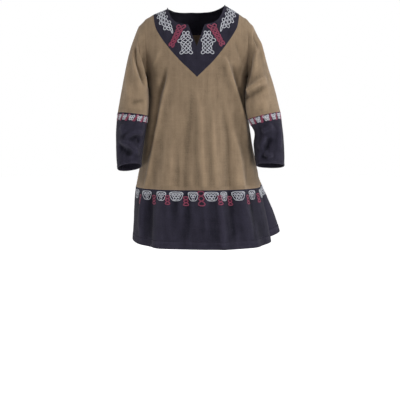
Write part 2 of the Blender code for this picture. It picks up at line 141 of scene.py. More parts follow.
RIGHT_SLEEVE = (
    (-0.228, -0.083, -0.209, -0.284, 0.000, 0.088, 0.000, 0.000),
    (-0.247, -0.128, -0.197, -0.298, -0.006, 0.087, 0.000, 0.003),
    (-0.264, -0.182, -0.1915, -0.318, -0.022, 0.085, 0.000, 0.008),
    (-0.280, -0.254, -0.189, -0.341, -0.038, 0.083, 0.000, 0.012),
    (-0.298, -0.352, -0.187, -0.391, -0.053, 0.080, 0.002, 0.014),
    (-0.309, -0.424, -0.191, -0.438, -0.060, 0.074, 0.004, 0.012),
    (-0.315, -0.480, -0.1995, -0.492, -0.066, 0.067, 0.008, 0.008),
    (-0.317, -0.540, -0.2075, -0.545, -0.070, 0.060, 0.012, 0.004),
    (-0.316, -0.598, -0.214, -0.598, -0.082, 0.055, 0.015, 0.002),
    (-0.311, -0.646, -0.216, -0.633, -0.092, 0.052, 0.017, 0.000),
)
SLEEVE_SEAM_SECTION = 6
SLEEVE_ROUNDNESS = 2.2

# Cloth
CLOTH = 0.0015
HEM_TURN = 0.031  # width of the turned hem
CUFF_TURN = 0.014
NECK_TURN = 0.006
SLEEVE_AROUND = 0.42  # mean length round a sleeve
SLEEVE_SECTION = 0.052  # mean distance between two sleeve sections
YOKE_LAP = 1.007  # width of the yoke as a share of its place, so that it laps over the panels
YOKE_LIFT, YOKE_PUCKER = 0.0008, 0.0002
SEWN_LIFT = 0.0004  # how far the hem and the lower sleeves stand out
ARMPIT_SLACK = 0.0048  # how far slack cloth under the armpits stands out
CREASE_DEPTH = 1.9  # share of the depths listed below that the creases get
SLEEVE_CREASE_DEPTH = 1.4  # the same on the sleeves, on top of it
CREASE_ROUND = 0.35  # how round a crease's ridge is, as a share of its half widths

# Slack of the cloth, from soft upright waves to a fine crumple: size, seed and height
RIPPLES = (
    ((0.050, 0.050, 0.260), 3, 0.0016),
    ((0.021, 0.021, 0.036), 5, 0.0006),
    ((0.011, 0.011, 0.014), 7, 0.00022),
)
# Flanks that the sleeves press flat, by angle and z
FLANK_ANGLE, FLANK_SPREAD = 80, 18
FLANK_FOOT, FLANK_FOOT_FADE = -0.56, 0.08
FLANK_TOP, FLANK_TOP_FADE = -0.24, 0.04
ARMPIT_SPREAD = 14  # slack under the armpits, in degrees round the body and metres of height
ARMPIT_SLACK_Z, ARMPIT_SLACK_HEIGHT = -0.306, 0.026
SIDE_BLEND = 4  # how quickly the front's creases give way to the back's at the sides
# Inside of the sleeves, pressed flat on the body, by degrees round them and by section
SLEEVE_INSIDE, SLEEVE_PRESS_SPREAD = 180, 42
SLEEVE_PRESS_END, SLEEVE_PRESS_FADE, SLEEVE_PRESS = 6.8, 0.6, 0.9
SLEEVE_SLACK_SPREAD = 45
SLEEVE_SLACK_AT, SLEEVE_SLACK_LENGTH = 1.4, 0.9
ARMHOLE_FADE = 0.7  # sections over which a sleeve's creases fade in below the armhole

# Creases of the body, placed on the front or back by x and z: depth outwards, half widths to the left
# and right of the line seen along it, shares of the length in which it fades in and out, and the line
FRONT_CREASES = (
    (-0.0105, 0.012, 0.010, 0.15, 0.30,
     ((-0.112, -0.235), (-0.132, -0.307), (-0.152, -0.362), (-0.167, -0.450), (-0.182, -0.533),
      (-0.196, -0.640))),
    (0.0095, 0.015, 0.008, 0.16, 0.25,
     ((-0.104, -0.235), (-0.118, -0.340), (-0.137, -0.428), (-0.158, -0.520), (-0.172, -0.610),
      (-0.190, -0.700), (-0.207, -0.770), (-0.220, -0.860), (-0.224, -0.990))),
    (0.0100, 0.008, 0.013, 0.12, 0.35,
     ((0.108, -0.196), (0.130, -0.269), (0.155, -0.340), (0.175, -0.406), (0.191, -0.460), (0.206, -0.560))),
    (-0.0080, 0.011, 0.011, 0.20, 0.35,
     ((0.140, -0.225), (0.165, -0.300), (0.185, -0.365), (0.197, -0.440))),
    (-0.0080, 0.016, 0.022, 0.30, 0.30,
     ((0.095, -0.310), (0.112, -0.430), (0.126, -0.533), (0.129, -0.690), (0.140, -0.800), (0.152, -0.960))),
    (-0.0050, 0.014, 0.022, 0.30, 0.40,
     ((-0.012, -0.320), (-0.018, -0.395), (-0.025, -0.476), (-0.036, -0.560), (-0.040, -0.690),
      (-0.032, -0.800), (-0.030, -0.980))),
    (0.0055, 0.020, 0.011, 0.25, 0.40,
     ((0.004, -0.315), (0.014, -0.428), (0.017, -0.505), (0.022, -0.616), (0.036, -0.760), (0.044, -0.900))),
    (0.0050, 0.014, 0.009, 0.40, 0.06,
     ((0.058, -0.330), (0.066, -0.450), (0.073, -0.640), (0.093, -0.780), (0.106, -0.930), (0.108, -1.000))),
    (0.0045, 0.013, 0.013, 0.35, 0.40,
     ((0.148, -0.470), (0.172, -0.600), (0.183, -0.700), (0.202, -0.820))),
    (-0.0045, 0.012, 0.014, 0.30, 0.10,
     ((-0.184, -0.690), (-0.180, -0.800), (-0.181, -0.900), (-0.184, -1.000))),
    (0.0030, 0.018, 0.018, 0.40, 0.40,
     ((-0.090, -0.480), (-0.094, -0.600), (-0.104, -0.730), (-0.112, -0.900))),
    (-0.0030, 0.016, 0.018, 0.40, 0.40,
     ((-0.066, -0.520), (-0.070, -0.640), (-0.078, -0.760), (-0.082, -0.900))),
    (0.0028, 0.010, 0.010, 0.40, 0.40,
     ((-0.130, -0.170), (-0.150, -0.215), (-0.175, -0.260))),
    (-0.0028, 0.010, 0.010, 0.40, 0.40,
     ((0.150, -0.135), (0.168, -0.190), (0.190, -0.250))),
    (-0.0030, 0.012, 0.016, 0.40, 0.20,
     ((0.214, -0.720), (0.226, -0.820), (0.236, -0.960))),
)
BACK_CREASES = (
    (-0.0065, 0.014, 0.012, 0.30, 0.30,
     ((-0.120, -0.180), (-0.136, -0.270), (-0.150, -0.380), (-0.158, -0.520))),
    (0.0055, 0.011, 0.016, 0.30, 0.30,
     ((-0.098, -0.190), (-0.112, -0.320), (-0.124, -0.470), (-0.140, -0.660), (-0.156, -0.860))),
    (0.0060, 0.015, 0.010, 0.30, 0.30,
     ((0.104, -0.180), (0.118, -0.290), (0.132, -0.440), (0.146, -0.640), (0.150, -0.820))),
    (-0.0055, 0.012, 0.014, 0.30, 0.30,
     ((0.132, -0.190), (0.146, -0.290), (0.158, -0.420), (0.164, -0.560))),
    (0.0050, 0.018, 0.012, 0.35, 0.25,
     ((0.016, -0.230), (0.012, -0.360), (0.020, -0.540), (0.030, -0.730), (0.034, -0.960))),
    (-0.0048, 0.016, 0.020, 0.35, 0.30,
     ((-0.030, -0.260), (-0.036, -0.420), (-0.034, -0.600), (-0.048, -0.800), (-0.054, -0.980))),
    (-0.0045, 0.020, 0.016, 0.40, 0.25,
     ((0.068, -0.340), (0.074, -0.520), (0.086, -0.700), (0.094, -0.960))),
    (0.0035, 0.016, 0.014, 0.40, 0.25,
     ((-0.074, -0.380), (-0.082, -0.560), (-0.096, -0.740), (-0.104, -0.960))),
    (0.0030, 0.010, 0.014, 0.40, 0.40,
     ((-0.150, -0.140), (-0.168, -0.200), (-0.186, -0.270))),
    (0.0030, 0.014, 0.010, 0.40, 0.40,
     ((0.148, -0.140), (0.170, -0.205), (0.188, -0.280))),
)
# Creases of the sleeves by turns round them in degrees and by section: 0 is the outside and 90 the front
LEFT_SLEEVE_CREASES = (
    (0.0085, 0.010, 0.016, 0.30, 0.30, ((158, 4.05), (130, 4.22), (97, 4.25), (66, 4.28), (36, 4.38))),
    (-0.0080, 0.012, 0.012, 0.25, 0.35, ((180, 4.95), (154, 4.62), (110, 4.62), (70, 4.62), (44, 4.72))),
    (0.0050, 0.016, 0.014, 0.35, 0.30, ((62, 0.90), (70, 1.83), (86, 2.88), (98, 3.90))),
    (-0.0060, 0.014, 0.014, 0.30, 0.30, ((110, 0.70), (126, 1.60), (140, 2.60), (150, 3.70))),
    (-0.0040, 0.013, 0.013, 0.35, 0.35, ((50, 0.80), (56, 1.50), (68, 2.30))),
    (0.0035, 0.014, 0.014, 0.35, 0.35, ((30, 1.60), (36, 2.60), (30, 3.60))),
    (0.0035, 0.012, 0.012, 0.35, 0.35, ((60, 5.80), (84, 5.40), (120, 5.30))),
    (0.0050, 0.010, 0.012, 0.35, 0.35, ((124, 7.10), (96, 7.05), (70, 6.70))),
    (0.0050, 0.010, 0.010, 0.30, 0.35, ((100, 7.50), (116, 8.10), (132, 8.70))),
    (-0.0050, 0.010, 0.012, 0.35, 0.35, ((86, 7.60), (98, 8.20), (112, 8.80))),
    (0.0048, 0.009, 0.009, 0.35, 0.35, ((118, 8.95), (98, 9.12), (78, 9.20))),
    (-0.0045, 0.008, 0.010, 0.35, 0.35, ((134, 9.00), (116, 9.22), (96, 9.38))),
    (0.0040, 0.014, 0.012, 0.35, 0.35, ((40, 6.80), (52, 7.80), (50, 8.80))),
    (-0.0040, 0.014, 0.014, 0.35, 0.35, ((300, 0.80), (290, 1.90), (280, 3.00))),
    (0.0045, 0.014, 0.012, 0.35, 0.35, ((322, 1.00), (310, 2.20), (300, 3.60))),
    (0.0060, 0.012, 0.012, 0.35, 0.35, ((220, 4.10), (252, 4.30), (290, 4.50), (326, 4.70))),
    (-0.0055, 0.012, 0.012, 0.35, 0.35, ((214, 4.60), (250, 4.80), (290, 5.00))),
    (0.0040, 0.012, 0.012, 0.35, 0.35, ((230, 6.90), (262, 7.30), (296, 7.50))),
    (-0.0040, 0.012, 0.012, 0.35, 0.35, ((240, 7.80), (272, 8.20), (304, 8.30))),
)
RIGHT_SLEEVE_CREASES = (
    (-0.0070, 0.011, 0.014, 0.30, 0.25, ((84, 0.95), (92, 1.40), (128, 2.05), (158, 2.70), (176, 3.60))),
    (0.0055, 0.010, 0.014, 0.30, 0.30, ((62, 1.10), (76, 1.90), (94, 2.60), (118, 3.40), (142, 4.20))),
    (-0.0055, 0.012, 0.011, 0.30, 0.30, ((52, 1.90), (67, 2.93), (96, 3.45), (124, 4.20))),
    (0.0045, 0.012, 0.014, 0.35, 0.35, ((40, 2.00), (54, 3.00), (82, 3.90), (104, 4.70))),
    (0.0030, 0.014, 0.014, 0.35, 0.35, ((30, 3.40), (44, 4.40), (70, 5.20))),
    (-0.0030, 0.012, 0.012, 0.35, 0.35, ((130, 4.90), (100, 5.10), (64, 5.50))),
    (0.0070, 0.009, 0.012, 0.30, 0.30, ((34, 8.00), (60, 8.15), (86, 8.32), (112, 8.68), (144, 9.15))),
    (-0.0075, 0.013, 0.012, 0.30, 0.30, ((30, 8.35), (58, 8.55), (86, 8.82), (112, 9.12))),
    (-0.0055, 0.010, 0.012, 0.35, 0.35, ((84, 8.05), (114, 7.78), (142, 8.20))),
    (0.0050, 0.012, 0.010, 0.35, 0.35, ((70, 8.05), (98, 7.50), (128, 7.40), (150, 7.60))),
    (0.0035, 0.012, 0.012, 0.35, 0.35, ((46, 6.80), (60, 7.30), (70, 7.70))),
    (-0.0040, 0.014, 0.014, 0.35, 0.35, ((298, 0.80), (286, 1.80), (276, 2.90))),
    (0.0045, 0.014, 0.012, 0.35, 0.35, ((320, 1.00), (308, 2.10), (296, 3.50))),
    (0.0050, 0.012, 0.012, 0.35, 0.35, ((216, 4.30), (250, 4.50), (290, 4.60), (322, 4.90))),
    (-0.0050, 0.012, 0.012, 0.35, 0.35, ((212, 4.80), (250, 5.00), (286, 5.10))),
    (0.0045, 0.012, 0.012, 0.35, 0.35, ((226, 7.40), (262, 7.90), (300, 8.40))),
    (-0.0045, 0.012, 0.012, 0.35, 0.35, ((222, 8.00), (258, 8.50), (296, 9.00))),
)

# Painted highlights on the ridges of the cloth and painted shade in its troughs
PAINTED_SHADE_SPREAD, PAINTED_SHADE_PULL = 14, 0.7  # passes of smoothing, and how far each goes
PAINTED_SHADE_HEIGHT = 0.0012
PAINTED_SHADE_SHARE = 0.7
WORN_EDGE, WORN_EDGE_SIZE, WORN_EDGE_LEAST = 0.004, 0.02, 0.6
WORN_TURN = 0.3  # wear of a turned edge and of the rims
WORN_TURN_FADE = 0.004
WORN_FOLD, WORN_FOLD_WIDTH = 0.5, 0.003
EDGE_CLEAR = 0.010  # distance from an edge at which ridges and troughs begin, and over which they fade in

# Relief along the seams and turned edges
SEAM_PUCKER, PUCKER_SIZE, PUCKER_REACH = 0.00045, 0.011, 0.014
ALLOWANCE_HEIGHT, ALLOWANCE_WIDTH, ALLOWANCE_FADE = 0.0006, 0.011, 0.003
TURN_RISE, TURN_FADE, TURN_THICKNESS = 0.0006, 0.0025, 0.0014
TURN_CLEAR = 1.5  # widths of a turn within which no seam allowance shows
TURN_CRUMPLE = (0.016, 0.016, 0.03)
STITCH_SINK, STITCH_SINK_WIDTH = 0.0008, 0.0016

# Weave: pitch of the threads, how far they arch, contrast and mean tone
THREAD_PITCH, THREAD_ARCH, THREAD_CONTRAST, CLOTH_TONE = 0.0012, 0.4, 0.25, 0.42
# Fineness of its noises per metre, across and along the cloth, or all round
WARP_TONE, WEFT_TONE = (620.0, 9.0), (9.0, 620.0)
WARP_SLUB, WEFT_SLUB = (240.0, 12.0), (16.0, 260.0)
STREAKS, FLECKS, FUZZ = (60.0, 7.0), (260.0, 170.0), (900.0, 900.0)
CLOUDS, FINE_CLOUDS, CRINKLES = 7.0, 30.0, 95.0
SATIN_PITCH, SATIN_TONE, SATIN_CLOUDS = 0.00045, (1500.0, 60.0), 45.0

# Embroidery and stitches
PALE_WIDTH = 0.0032
SHIELD_WIDTH = 0.0026
RED_WIDTH = 0.0050
BAR_WIDTH = 0.0060
THREAD_HEIGHT = 0.0009
THREAD_GAP = 0.0003
STRAND_SPACING = 0.0016
STRAND_SINK = 0.0004  # how far the sides of a strand lie below the cloth's face
CURVE_STEPS, CURVE_PULL = 10, 0.42
WIDE_TURN = math.radians(200)  # corners wider than this get a round loop
LOOP_REACH = 0.45
STRAND_ACROSS = (-0.5, -0.34, 0, 0.34, 0.5)  # shares of a strand's width
STRAND_RISE = (0, 0.62, 1, 0.62, 0)  # its height at each
STRAND_END, STRAND_SWELL = 0.75, 0.5  # height at a strand's ends, and how much more it has in its middle
STITCH_POINTS = 4
STITCH_LENGTH, STITCH_GAP = 0.0028, 0.0010
STITCH_WIDTH, STITCH_HEIGHT = 0.0007, 0.0004
YOKE_STITCH_IN = 0.004

# Motifs as rows of points: height, then the places across
WIDE_SHIELD = ((2, (-1.5, -0.5, 0.5, 1.5)), (1, (-1, 0, 1)), (0, (-0.5, 0.5)))
NARROW_SHIELD = ((2, (-1, 0, 1)), (1, (-0.5, 0.5)), (0, (0,)))
LOOP_CHAIN = ((2, (0,)), (1, (0,)), (0, (0,)))
BAND_BLOCK = ((1, (-1, 0, 1)), (0, (-0.6, 0.6)))
CHEST_ROWS = ((90, (-8, 6)), (74, (-16, 0, 15)), (58, (-20, 2, 25)), (41, (-17, 0, 15)), (24, (-19, -3, 12)),
              (7, (-20, 0, 18)))
PANEL_ROWS = ((0,), (-0.6, 0.6), (-1, 0, 1), (-0.55, 0.55))
BAR_ROWS = tuple((k, (-1, 1)) for k in range(6))

# Places of the motifs
HEM_MOTIF_Z = -0.7495
HEM_MOTIF_PITCH = 0.060
SHIELD_HEIGHT = 0.034
SHIELD_FOOT = 0.55  # width of a shield's foot as a share of its top
SHIELD_KNOT = 0.80  # size of the knot in a shield's frame
# x of the middle, and width
HEM_SHIELDS = ((-0.194, 0.042), (-0.137, 0.048), (-0.077, 0.062), (-0.011, 0.047),
               (0.061, 0.065), (0.110, 0.038), (0.168, 0.061), (0.223, 0.041))
BACK_SHIELDS = (0.058, 0.040)  # widths behind, by turns
SIDE_SHIELD, SIDE_SHIELD_SHIFT = 0.044, 0.004  # width of those at the side seams, and their way to the seam
WIDE_SHIELD_FROM = 0.055
FRAME_LAP, FRAME_STEPS = 0.12, 60
LOOP_WIDTHS, LOOP_HEIGHT = (0.017, 0.020), 0.034
LOOP_Z, LOOP_STEP = -0.768, 0.002
TALL_LOOP, TALL_LOOP_SIZE, TALL_LOOP_Z = 4, (0.026, 0.056), -0.757
HEM_STITCH_END = 89.6
PANEL_START, PANEL_END = 0.275, 0.90
PANEL_LENGTH, PANEL_WIDTH = 0.300, 0.042
PANEL_COLUMNS = 20
PANEL_ALONG = (0.275, 0.30, 0.40, 0.49, 0.59, 0.70, 0.90)
PANEL_CENTRE = (0.47, 0.37, 0.43, 0.49, 0.50, 0.48, 0.46)
PANEL_HALF = (0.10, 0.22, 0.27, 0.29, 0.30, 0.26, 0.20)
BAR_TOP = ((0.040, -0.0870), (0.0735, -0.0815))
BAR_FOOT = ((0.093, -0.1690), (0.1085, -0.1590))
CHEST_KNOT = (0.0450, -0.1545)
CHEST_SIZE = (0.056, 0.088)
BAND_BLOCKS = 13
BAND_BLOCK_SIZE = (0.022, 0.019)
BAND_SLANT = 0.55
BAND_SLANT_SIZE = (0.008, 0.024)
BAND_PALE_WIDTH = 0.0036
RIGHT_BAND, LEFT_BAND = 6.32, 6.24  # sleeve sections of the middles of the bands

# Camera in the photograph's frame of 400 pixels
SENSOR = 36.0
FRAME_PIXELS, FOCAL_PIXELS, CAMERA_TILT_PIXELS = 400.0, 837.0, 90
CAMERA_PLACE = (0.01624, -3.4, -0.414)

# Floor and light
FLOOR_X, FLOOR_Y, FLOOR_Z = (-9, 9), (-7, 11), -1.57
FLOOR_FINISH = {"Base Color": (0.92, 0.92, 0.92, 1), "Roughness": 0.9,
                "Emission Color": (1, 1, 1, 1), "Emission Strength": 0.86}
AMBIENT = 0.17  # strength of the white surround as light
# Round lamps: name, place, z that they face on the middle line, width and power
LIGHTS = (
    ("top", (0.2, -0.6, 2.6), -0.40, 2.0, 45),
    ("right", (2.6, -1.0, 1.2), -0.45, 0.7, 60),
    ("front_right", (1.9, -2.2, 0.1), -0.65, 0.6, 24),
    ("left", (-2.6, -0.8, 0.8), -0.40, 0.7, 28),
    ("back", (0.7, 2.9, 1.1), -0.45, 0.9, 46),
    ("front_left", (-1.3, -2.5, 0.5), -0.50, 0.6, 6),
)

# Mesh density
BODY_STEPS = 72  # from the middle to the side
BODY_ROWS = 110
BELOW_YOKE = -0.010  # level of the last whole row, below the yoke's tip
ARMHOLE_STEPS = 62
YOKE_BACK_STEPS = 43
YOKE_ROWS = 26
HEM_STEPS = 150
SLEEVE_TURNS = 2 * ARMHOLE_STEPS
RIM_STEPS = 4
RIM_PLACES = 4  # places on each side of a face at which distances to an edge are taken
CREASE_STEPS = 6
EDGE_STEPS = 1500  # for measuring an edge of the yoke
ROW_STEPS, RISE_STEPS = 720, 400  # for measuring the body round and up
RISE_ANGLE = 8.0
UPPER_SLEEVE_ROWS = 68
HEM_LINE_STEPS, YOKE_LINE_STEPS, RING_STEPS = 400, 500, 180
# Rows at a turned edge, by distance from it: at the edge, on the turn, at its stitches and beyond
EDGE_ROWS = (0, 0.0015, 0.004)
TURN_ROWS_FROM, TURN_ROWS_LEAST, ROW_SPACING = 0.008, 0.006, 0.005
STITCH_ROWS = (-0.003, -0.0016, -0.0006, 0.0006, 0.0016, 0.003)
BEYOND_TURN = 0.007
HEM_HEIGHT, HEM_EVEN = 0.22, 0.004  # nominal height, and how far beyond the turn its rows stay even
HEM_CLOTH = 0.37  # half of the hem's width on the flat cloth

# Layout of the map that a bake uses: gaps, strip of the rims, and height and foot of the faces
BAKE_GAP, BAKE_RIM = 0.015, 0.02
BAKE_HEIGHT, BAKE_FOOT = 0.97, 0.025
# The same in a strand's cell: share of its length and sides, their starts, and the end caps
BAKE_RUN, BAKE_START, BAKE_SIDE = 0.9, 0.04, 0.05
BAKE_FIRST_CAP, BAKE_LAST_CAP, BAKE_CAP = 0.005, 0.95, 0.03

DIFFERENCE = 1e-4
TINY = 1e-12
WELD = 1e-7
PUCKER_SEED, TURN_SEED, WEAR_SEED = 11, 13, 17
# Large odd numbers that scatter the cells of the noise
HASH_X, HASH_Y, HASH_Z = 73856093, 19349663, 83492791
HASH_SEED, HASH_MIX = 2654435761, 1274126177


# Small tools

def unit(vectors):
    return vectors / np.maximum(np.linalg.norm(vectors, axis=-1, keepdims=True), TINY)


def ease(share):
    share = np.clip(share, 0, 1)
    return share * share * (3 - 2 * share)


def bell(off, width):
    return np.exp(-((off / width) ** 2))


def lengths_along(line):
    """Length of a line up to each of its points."""
    return np.concatenate([[0], np.cumsum(np.linalg.norm(np.diff(line, axis=0), axis=1))])


def points_at(line, run, at):
    return np.stack([np.interp(at, run, line[:, k]) for k in range(3)], axis=-1)


def hermite(keys, values, tangents, at):
    at = np.clip(at, keys[0], keys[-1])
    i = np.clip(np.searchsorted(keys, at) - 1, 0, len(keys) - 2)
    span = keys[i + 1] - keys[i]
    t = (at - keys[i]) / span
    start = values[i] * (1 + 2 * t) * (1 - t) ** 2 + tangents[i] * span * t * (1 - t) ** 2
    end = values[i + 1] * (3 - 2 * t) * t ** 2 - tangents[i + 1] * span * (1 - t) * t ** 2
    return start + end


def smooth(keys, values, at):
    """Values between the keys of a short table, with even slopes."""
    order = np.argsort(keys)
    keys, values = np.asarray(keys, float)[order], np.asarray(values, float)[order]
    return hermite(keys, values, np.gradient(values, keys), at)


def steady(keys, values, at):
    """Values between the keys of a short table that never pass beyond the table's own values."""
    keys, values = np.asarray(keys, float), np.asarray(values, float)
    rise = np.diff(values) / np.diff(keys)
    product = rise[:-1] * rise[1:]
    total = rise[:-1] + rise[1:]
    inside = np.where(product > 0, 2 * product / np.where(total == 0, 1, total), 0)
    return hermite(keys, values, np.concatenate([rise[:1], inside, rise[-1:]]), at)


def noise(points, seed):
    """Smooth value noise from -1 to 1, the same in every run."""
    cell = np.floor(points).astype(np.int64)
    share = ease(points - cell)
    total = np.zeros(points.shape[:-1])
    for corner in np.ndindex(2, 2, 2):
        at = cell + np.array(corner)
        key = at[..., 0] * HASH_X ^ at[..., 1] * HASH_Y ^ at[..., 2] * HASH_Z ^ seed * HASH_SEED
        key = (key ^ (key >> 13)) * HASH_MIX
        value = ((key ^ (key >> 16)) & 0xFFFF) / 32767.5 - 1
        weight = np.prod(np.where(np.array(corner) == 1, share, 1 - share), axis=-1)
        total += value * weight
    return total


def column(rows, names, name):
    return np.array([row[names.index(name)] for row in rows])


# Form of the body

def body_size(name, z):
    return smooth(column(BODY_SECTIONS, BODY_COLUMNS, "z"), column(BODY_SECTIONS, BODY_COLUMNS, name), z)


def shoulder_z(x):
    drop = NECK_DROP * bell(x + NECK_HALF_WIDTH, NECK_DROP_WIDTH)
    return -SHOULDER_SLOPE * np.maximum(np.abs(x) - NECK_HALF_WIDTH, 0) - drop


def row_half_width(level):
    lift = np.sin(np.clip(level, 0, 1) * math.pi / 2)
    return body_size("half_width", ARMPIT_Z + np.minimum(level, 0)) + CHEST_SPREAD * lift


def edge_angle(level):
    share = ARMHOLE_HALF_WIDTH / row_half_width(level)
    armhole = np.degrees(np.arcsin(np.minimum(share, 1) ** (BODY_ROUNDNESS / 2)))
    return np.where(level > 0, armhole, 90.0)


def plain_body_point(angle, level):
    """A point of the smooth body, by the angle round it and the level above the armpits."""
    angle, level = np.broadcast_arrays(np.asarray(angle, float), np.asarray(level, float))
    over = level > 1
    angle = np.where(over, np.copysign(180 - np.abs(angle), angle), angle)
    level = np.where(over, 2 - level, level)
    turn = np.radians(angle)
    lift = np.clip(level, 0, 1) * math.pi / 2
    low_z = ARMPIT_Z + np.minimum(level, 0)
    across = np.abs(np.sin(turn)) ** (2 / BODY_ROUNDNESS)
    deep = np.abs(np.cos(turn)) ** (2 / BODY_ROUNDNESS)
    depth_left = np.abs(np.cos(lift)) ** (2 / SHOULDER_DEPTH_POWER)
    widest = body_size("widest_y", low_z)
    x = np.sign(np.sin(turn)) * row_half_width(level) * across
    front = widest - (body_size("front", low_z) + widest) * depth_left * deep
    back = widest + (body_size("back", low_z) - widest) * depth_left * deep
    risen = np.sin(lift) ** (2 / SHOULDER_RISE_POWER)
    z = np.where(level > 0, ARMPIT_Z + (shoulder_z(x) - ARMPIT_Z) * risen, low_z)
    y = np.where(np.cos(turn) >= 0, front, back)
    return np.stack([x + body_size("lean", z), y, z], axis=-1)


def slopes(place, first, second, first_range, second_range):
    a, b = DIFFERENCE * first_range, DIFFERENCE * second_range
    along = place(first + a, second) - place(first - a, second)
    up = place(first, second + b) - place(first, second - b)
    return unit(np.cross(along, up))


def fold_height(angle, z):
    out = np.zeros(np.broadcast(angle, z).shape)
    for top_angle, top_z, foot_angle, foot_z, half_width, depth in BODY_FOLDS:
        run = np.clip((top_z - z) / (top_z - foot_z), 0, 1)
        middle = top_angle + (foot_angle - top_angle) * run
        off = (angle - middle + 180) % 360 - 180
        out = out + depth * np.sin(run * math.pi / 2) ** FOLD_POWER * bell(off, half_width)
    return out


def crease_height(first, second, creases):
    """How far the listed creases push the cloth out, at places given by two coordinates in metres."""
    out = np.zeros(np.broadcast(first, second).shape)
    for depth, left, right, fade_in, fade_out, line in creases:
        line = np.asarray(line, float)
        keys = np.arange(len(line))
        at = np.linspace(0, len(line) - 1, CREASE_STEPS * len(line))
        path = np.stack([smooth(keys, line[:, 0], at), smooth(keys, line[:, 1], at)], axis=1)
        starts = lengths_along(path)
        lengths = np.linalg.norm(np.diff(path, axis=0), axis=1)
        nearest = np.full(out.shape, np.inf)
        off = np.zeros(out.shape)
        share = np.zeros(out.shape)
        for a, b, start, length in zip(path[:-1], path[1:], starts, lengths):
            way = (b - a) / length
            from_a, up_a = first - a[0], second - a[1]
            run = np.clip(from_a * way[0] + up_a * way[1], 0, length)
            gap = np.hypot(from_a - run * way[0], up_a - run * way[1])
            near = gap < nearest
            nearest = np.where(near, gap, nearest)
            off = np.where(near, np.sign(way[0] * up_a - way[1] * from_a) * gap, off)
            share = np.where(near, (start + run) / starts[-1], share)
        width = np.where(off > 0, left, right)
        fade = ease(share / fade_in) * ease((1 - share) / fade_out)
        out = out + CREASE_DEPTH * depth * fade * np.exp(CREASE_ROUND - np.hypot(off / width, CREASE_ROUND))
    return out


def ripple(point):
    """Slack of the cloth: soft upright waves and a fine crumple."""
    return sum(height * noise(point / np.array(size), seed) for size, seed, height in RIPPLES)


def body_point(angle, level):
    """A point of the body's cloth with all its folds."""
    angle, level = np.broadcast_arrays(np.asarray(angle, float), np.asarray(level, float))
    point = plain_body_point(angle, level)
    x, _, z = np.moveaxis(point, -1, 0)
    facing = SIDE_BLEND * np.cos(np.radians(angle)) * np.where(level > 1, -1, 1)
    out = fold_height(angle, z) + ripple(point)
    out = out + np.clip(facing, 0, 1) * crease_height(x, z, FRONT_CREASES)
    out = out + np.clip(-facing, 0, 1) * crease_height(x, z, BACK_CREASES)
    pressed = bell(np.abs(angle) - FLANK_ANGLE, FLANK_SPREAD) * ease((z - FLANK_FOOT) / FLANK_FOOT_FADE)
    out = out * (1 - pressed * ease((FLANK_TOP - z) / FLANK_TOP_FADE))
    under_arm = bell(np.abs(angle) - 90, ARMPIT_SPREAD) * bell(z - ARMPIT_SLACK_Z, ARMPIT_SLACK_HEIGHT)
    out = out + ARMPIT_SLACK * under_arm
    return point + slopes(plain_body_point, angle, level, 90.0, 1.0) * out[..., None]


def on_body(x, z, behind):
    """Angle and level of the body's point at x and z, on the front or the back."""
    high = (z - ARMPIT_Z) / (shoulder_z(x) - ARMPIT_Z)
    lift = np.arcsin(np.clip(high, 0, 1) ** (SHOULDER_RISE_POWER / 2))
    level = np.where(z > ARMPIT_Z, lift / (math.pi / 2), z - ARMPIT_Z)
    share = np.minimum(np.abs(x) / row_half_width(level), 1)
    angle = np.degrees(np.arcsin(share ** (BODY_ROUNDNESS / 2)))
    return angle, np.where(behind, 2 - level, level)


def edge_place(rows, corner, at):
    """Angle and level on an edge of the yoke at a place counted in rows of its table."""
    x, z, _ = np.array(rows, float).T
    keys = np.arange(len(rows), dtype=float)
    far = np.maximum(at, corner)
    across = np.where(at < corner, np.interp(at, keys, x), steady(keys[corner:], x[corner:], far))
    up = np.where(at < corner, np.interp(at, keys, z), steady(keys[corner:], z[corner:], far))
    return on_body(across, up, at > SHOULDER_ROW)


@functools.cache
def edge_line(rows, corner):
    """Angles and levels along an edge of the yoke, evenly spaced on its front part and on its back part."""
    places = []
    stretches = (0, SHOULDER_ROW, ARMHOLE_STEPS), (SHOULDER_ROW, len(rows) - 1, YOKE_BACK_STEPS)
    for first, last, steps in stretches:
        fine = np.linspace(first, last, EDGE_STEPS)
        run = lengths_along(plain_body_point(*edge_place(rows, corner, fine)))
        places.append(np.interp(np.linspace(0, run[-1], steps + 1), run, fine))
    return edge_place(rows, corner, np.concatenate([places[0], places[1][1:]]))


# Armholes and sleeves

def armhole_turns(behind):
    return np.linspace(180, 360 if behind else 0, ARMHOLE_STEPS + 1)


def armhole_point(around, side):
    turn = np.radians(around)
    high = (1 + np.cos(turn)) / 2
    level = np.arcsin(high ** (SHOULDER_RISE_POWER / 2)) / (math.pi / 2)
    angle = edge_angle(level)
    return side * np.where(np.sin(turn) >= 0, angle, 180 - angle), level


def sleeve_ring(rows, around, at):
    turn = np.radians(around)
    keys = np.arange(1, len(rows) + 1)
    at = np.maximum(at, 1)
    size = {name: smooth(keys, column(rows, SLEEVE_COLUMNS, name), at) for name in SLEEVE_COLUMNS}
    power = 2 / SLEEVE_ROUNDNESS
    across = np.sign(np.cos(turn)) * np.abs(np.cos(turn)) ** power
    deep = np.sign(np.sin(turn)) * np.abs(np.sin(turn)) ** power
    x = (size["out_x"] + size["in_x"]) / 2 + (size["out_x"] - size["in_x"]) / 2 * across
    z = (size["out_z"] + size["in_z"]) / 2 + (size["out_z"] - size["in_z"]) / 2 * across
    y = size["mid_y"] - size["half_depth"] * deep
    return np.stack([x + size["front_x"] * deep, y, z + size["front_rise"] * deep], axis=-1)


